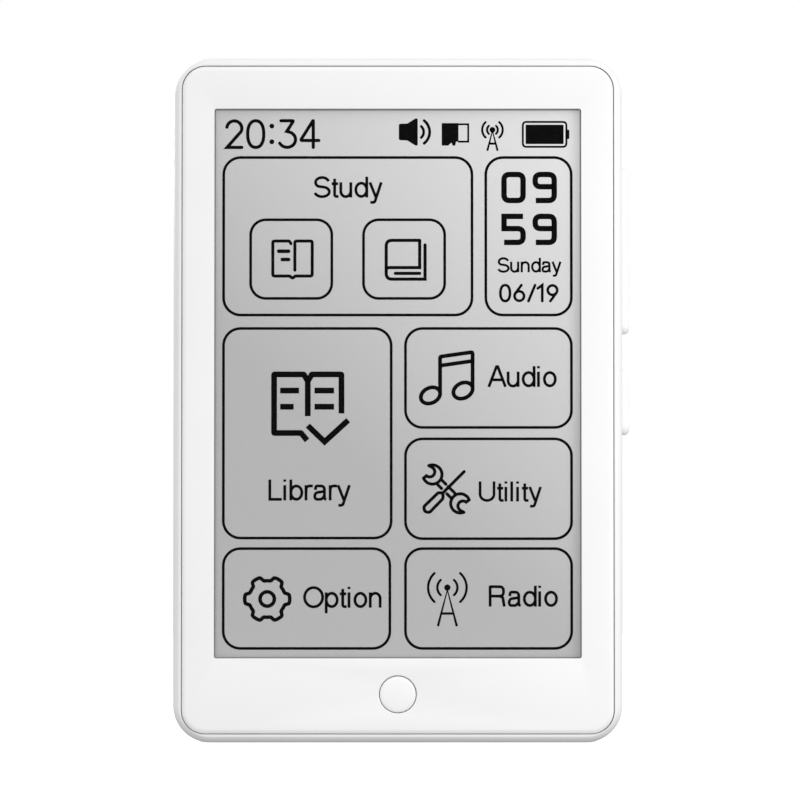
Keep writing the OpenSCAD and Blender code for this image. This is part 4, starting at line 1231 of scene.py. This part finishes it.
FLOOR_GLOW = 0.50
SKY_HIGH = 0.97
SKY_LOW = 0.40
SKY_FRONT = 0.215


def make_floor():
    """Wide pale floor, faintly luminous like a lit table."""
    me = bpy.data.meshes.new("studio_floor")
    s = 4.0
    me.from_pydata([(-s, -s, 0), (s, -s, 0), (s, s, 0), (-s, s, 0)], [], [(0, 1, 2, 3)])
    floor = in_scene("studio_floor", me)
    f = Finish("floor_white", (0.90, 0.90, 0.90), 0.8, specular_ior_level=0.1)
    f.bsdf.inputs["Emission Color"].default_value = (1, 1, 1, 1)
    f.bsdf.inputs["Emission Strength"].default_value = FLOOR_GLOW
    f.tint(f.noise(60 * MM), (0.89, 0.89, 0.89))
    me.materials.append(f.mat)
    floor.visible_diffuse = floor.visible_glossy = floor.visible_shadow = False


def lamp(name, place, aim, size, power):
    """Square soft box pointed at a spot."""
    data = bpy.data.lights.new(name, "AREA")
    data.energy = power
    data.size = size
    obj = in_scene(name, data)
    obj.location = place
    obj.rotation_euler = (Vector(aim) - Vector(place)).to_track_quat("-Z", "Y").to_euler()
    obj.visible_camera = False


def make_light():
    """A white room, brighter above and in front, with close soft boxes on the right and behind."""
    world = bpy.data.worlds.new("studio")
    bpy.context.scene.world = world
    world.use_nodes = True
    sky = world.node_tree.nodes["Background"]
    sky.inputs["Color"].default_value = (1, 1, 1, 1)
    new, link = world.node_tree.nodes.new, world.node_tree.links.new
    axes = new("ShaderNodeSeparateXYZ")
    link(new("ShaderNodeTexCoord").outputs["Generated"], axes.inputs[0])
    height = new("ShaderNodeMapRange")
    height.interpolation_type = "SMOOTHSTEP"
    for key, value in (("From Min", -0.55), ("From Max", 0.45), ("To Min", SKY_LOW), ("To Max", SKY_HIGH)):
        height.inputs[key].default_value = value
    link(axes.outputs["Z"], height.inputs["Value"])
    front = new("ShaderNodeMath")
    front.operation = "MULTIPLY_ADD"
    front.inputs[1].default_value = -SKY_FRONT
    link(axes.outputs["Y"], front.inputs[0])
    link(height.outputs["Result"], front.inputs[2])
    pick = new("ShaderNodeMix")
    pick.inputs["B"].default_value = 1.0
    link(new("ShaderNodeLightPath").outputs["Is Camera Ray"], pick.inputs["Factor"])
    link(front.outputs[0], pick.inputs["A"])
    link(pick.outputs[0], sky.inputs["Strength"])
    lamp("right_soft_box", (0.15, -0.12, 0.08), (0.015, 0, 0.05), 0.09, 0.115)
    lamp("back_soft_box", (-0.25, 0.40, 0.25), (0, 0, 0.05), 0.30, 0.60)


def make_camera():
    """Long lens square on to the screen, a little under the middle."""
    data = bpy.data.cameras.new("camera")
    cam = in_scene("camera", data)
    bpy.context.scene.camera = cam
    data.sensor_width = 36
    data.lens = 250
    width = 108 * MM
    away = width * data.lens / data.sensor_width
    aim = Vector((0.30 * MM, FACE_Y, BODY_H / 2 - 0.1 * MM))
    low = math.radians(2.2)
    cam.location = aim + Vector((0, -math.cos(low), -math.sin(low))) * away
    cam.rotation_euler = (aim - cam.location).to_track_quat("-Z", "Y").to_euler()
    data.clip_start = 0.01
    data.clip_end = 20


# ---- build ----------------------------------------------------------------------------------------

dress_frame_nodes()
make_front_panel()
make_frame()
make_back_cover()
make_home_button()
rocker_place, power_place = key_places()
make_key("volume_bar", "volume_rocker", "rocker", rocker_place, WALL + 0.6 * MM)
make_key("power_bar", "power_button", "power_key", power_place, WALL + 0.3 * MM)
make_film()
draw_screen()
make_all_screws()
make_floor()
make_light()
make_camera()
bpy.context.scene.view_settings.view_transform = "Standard"
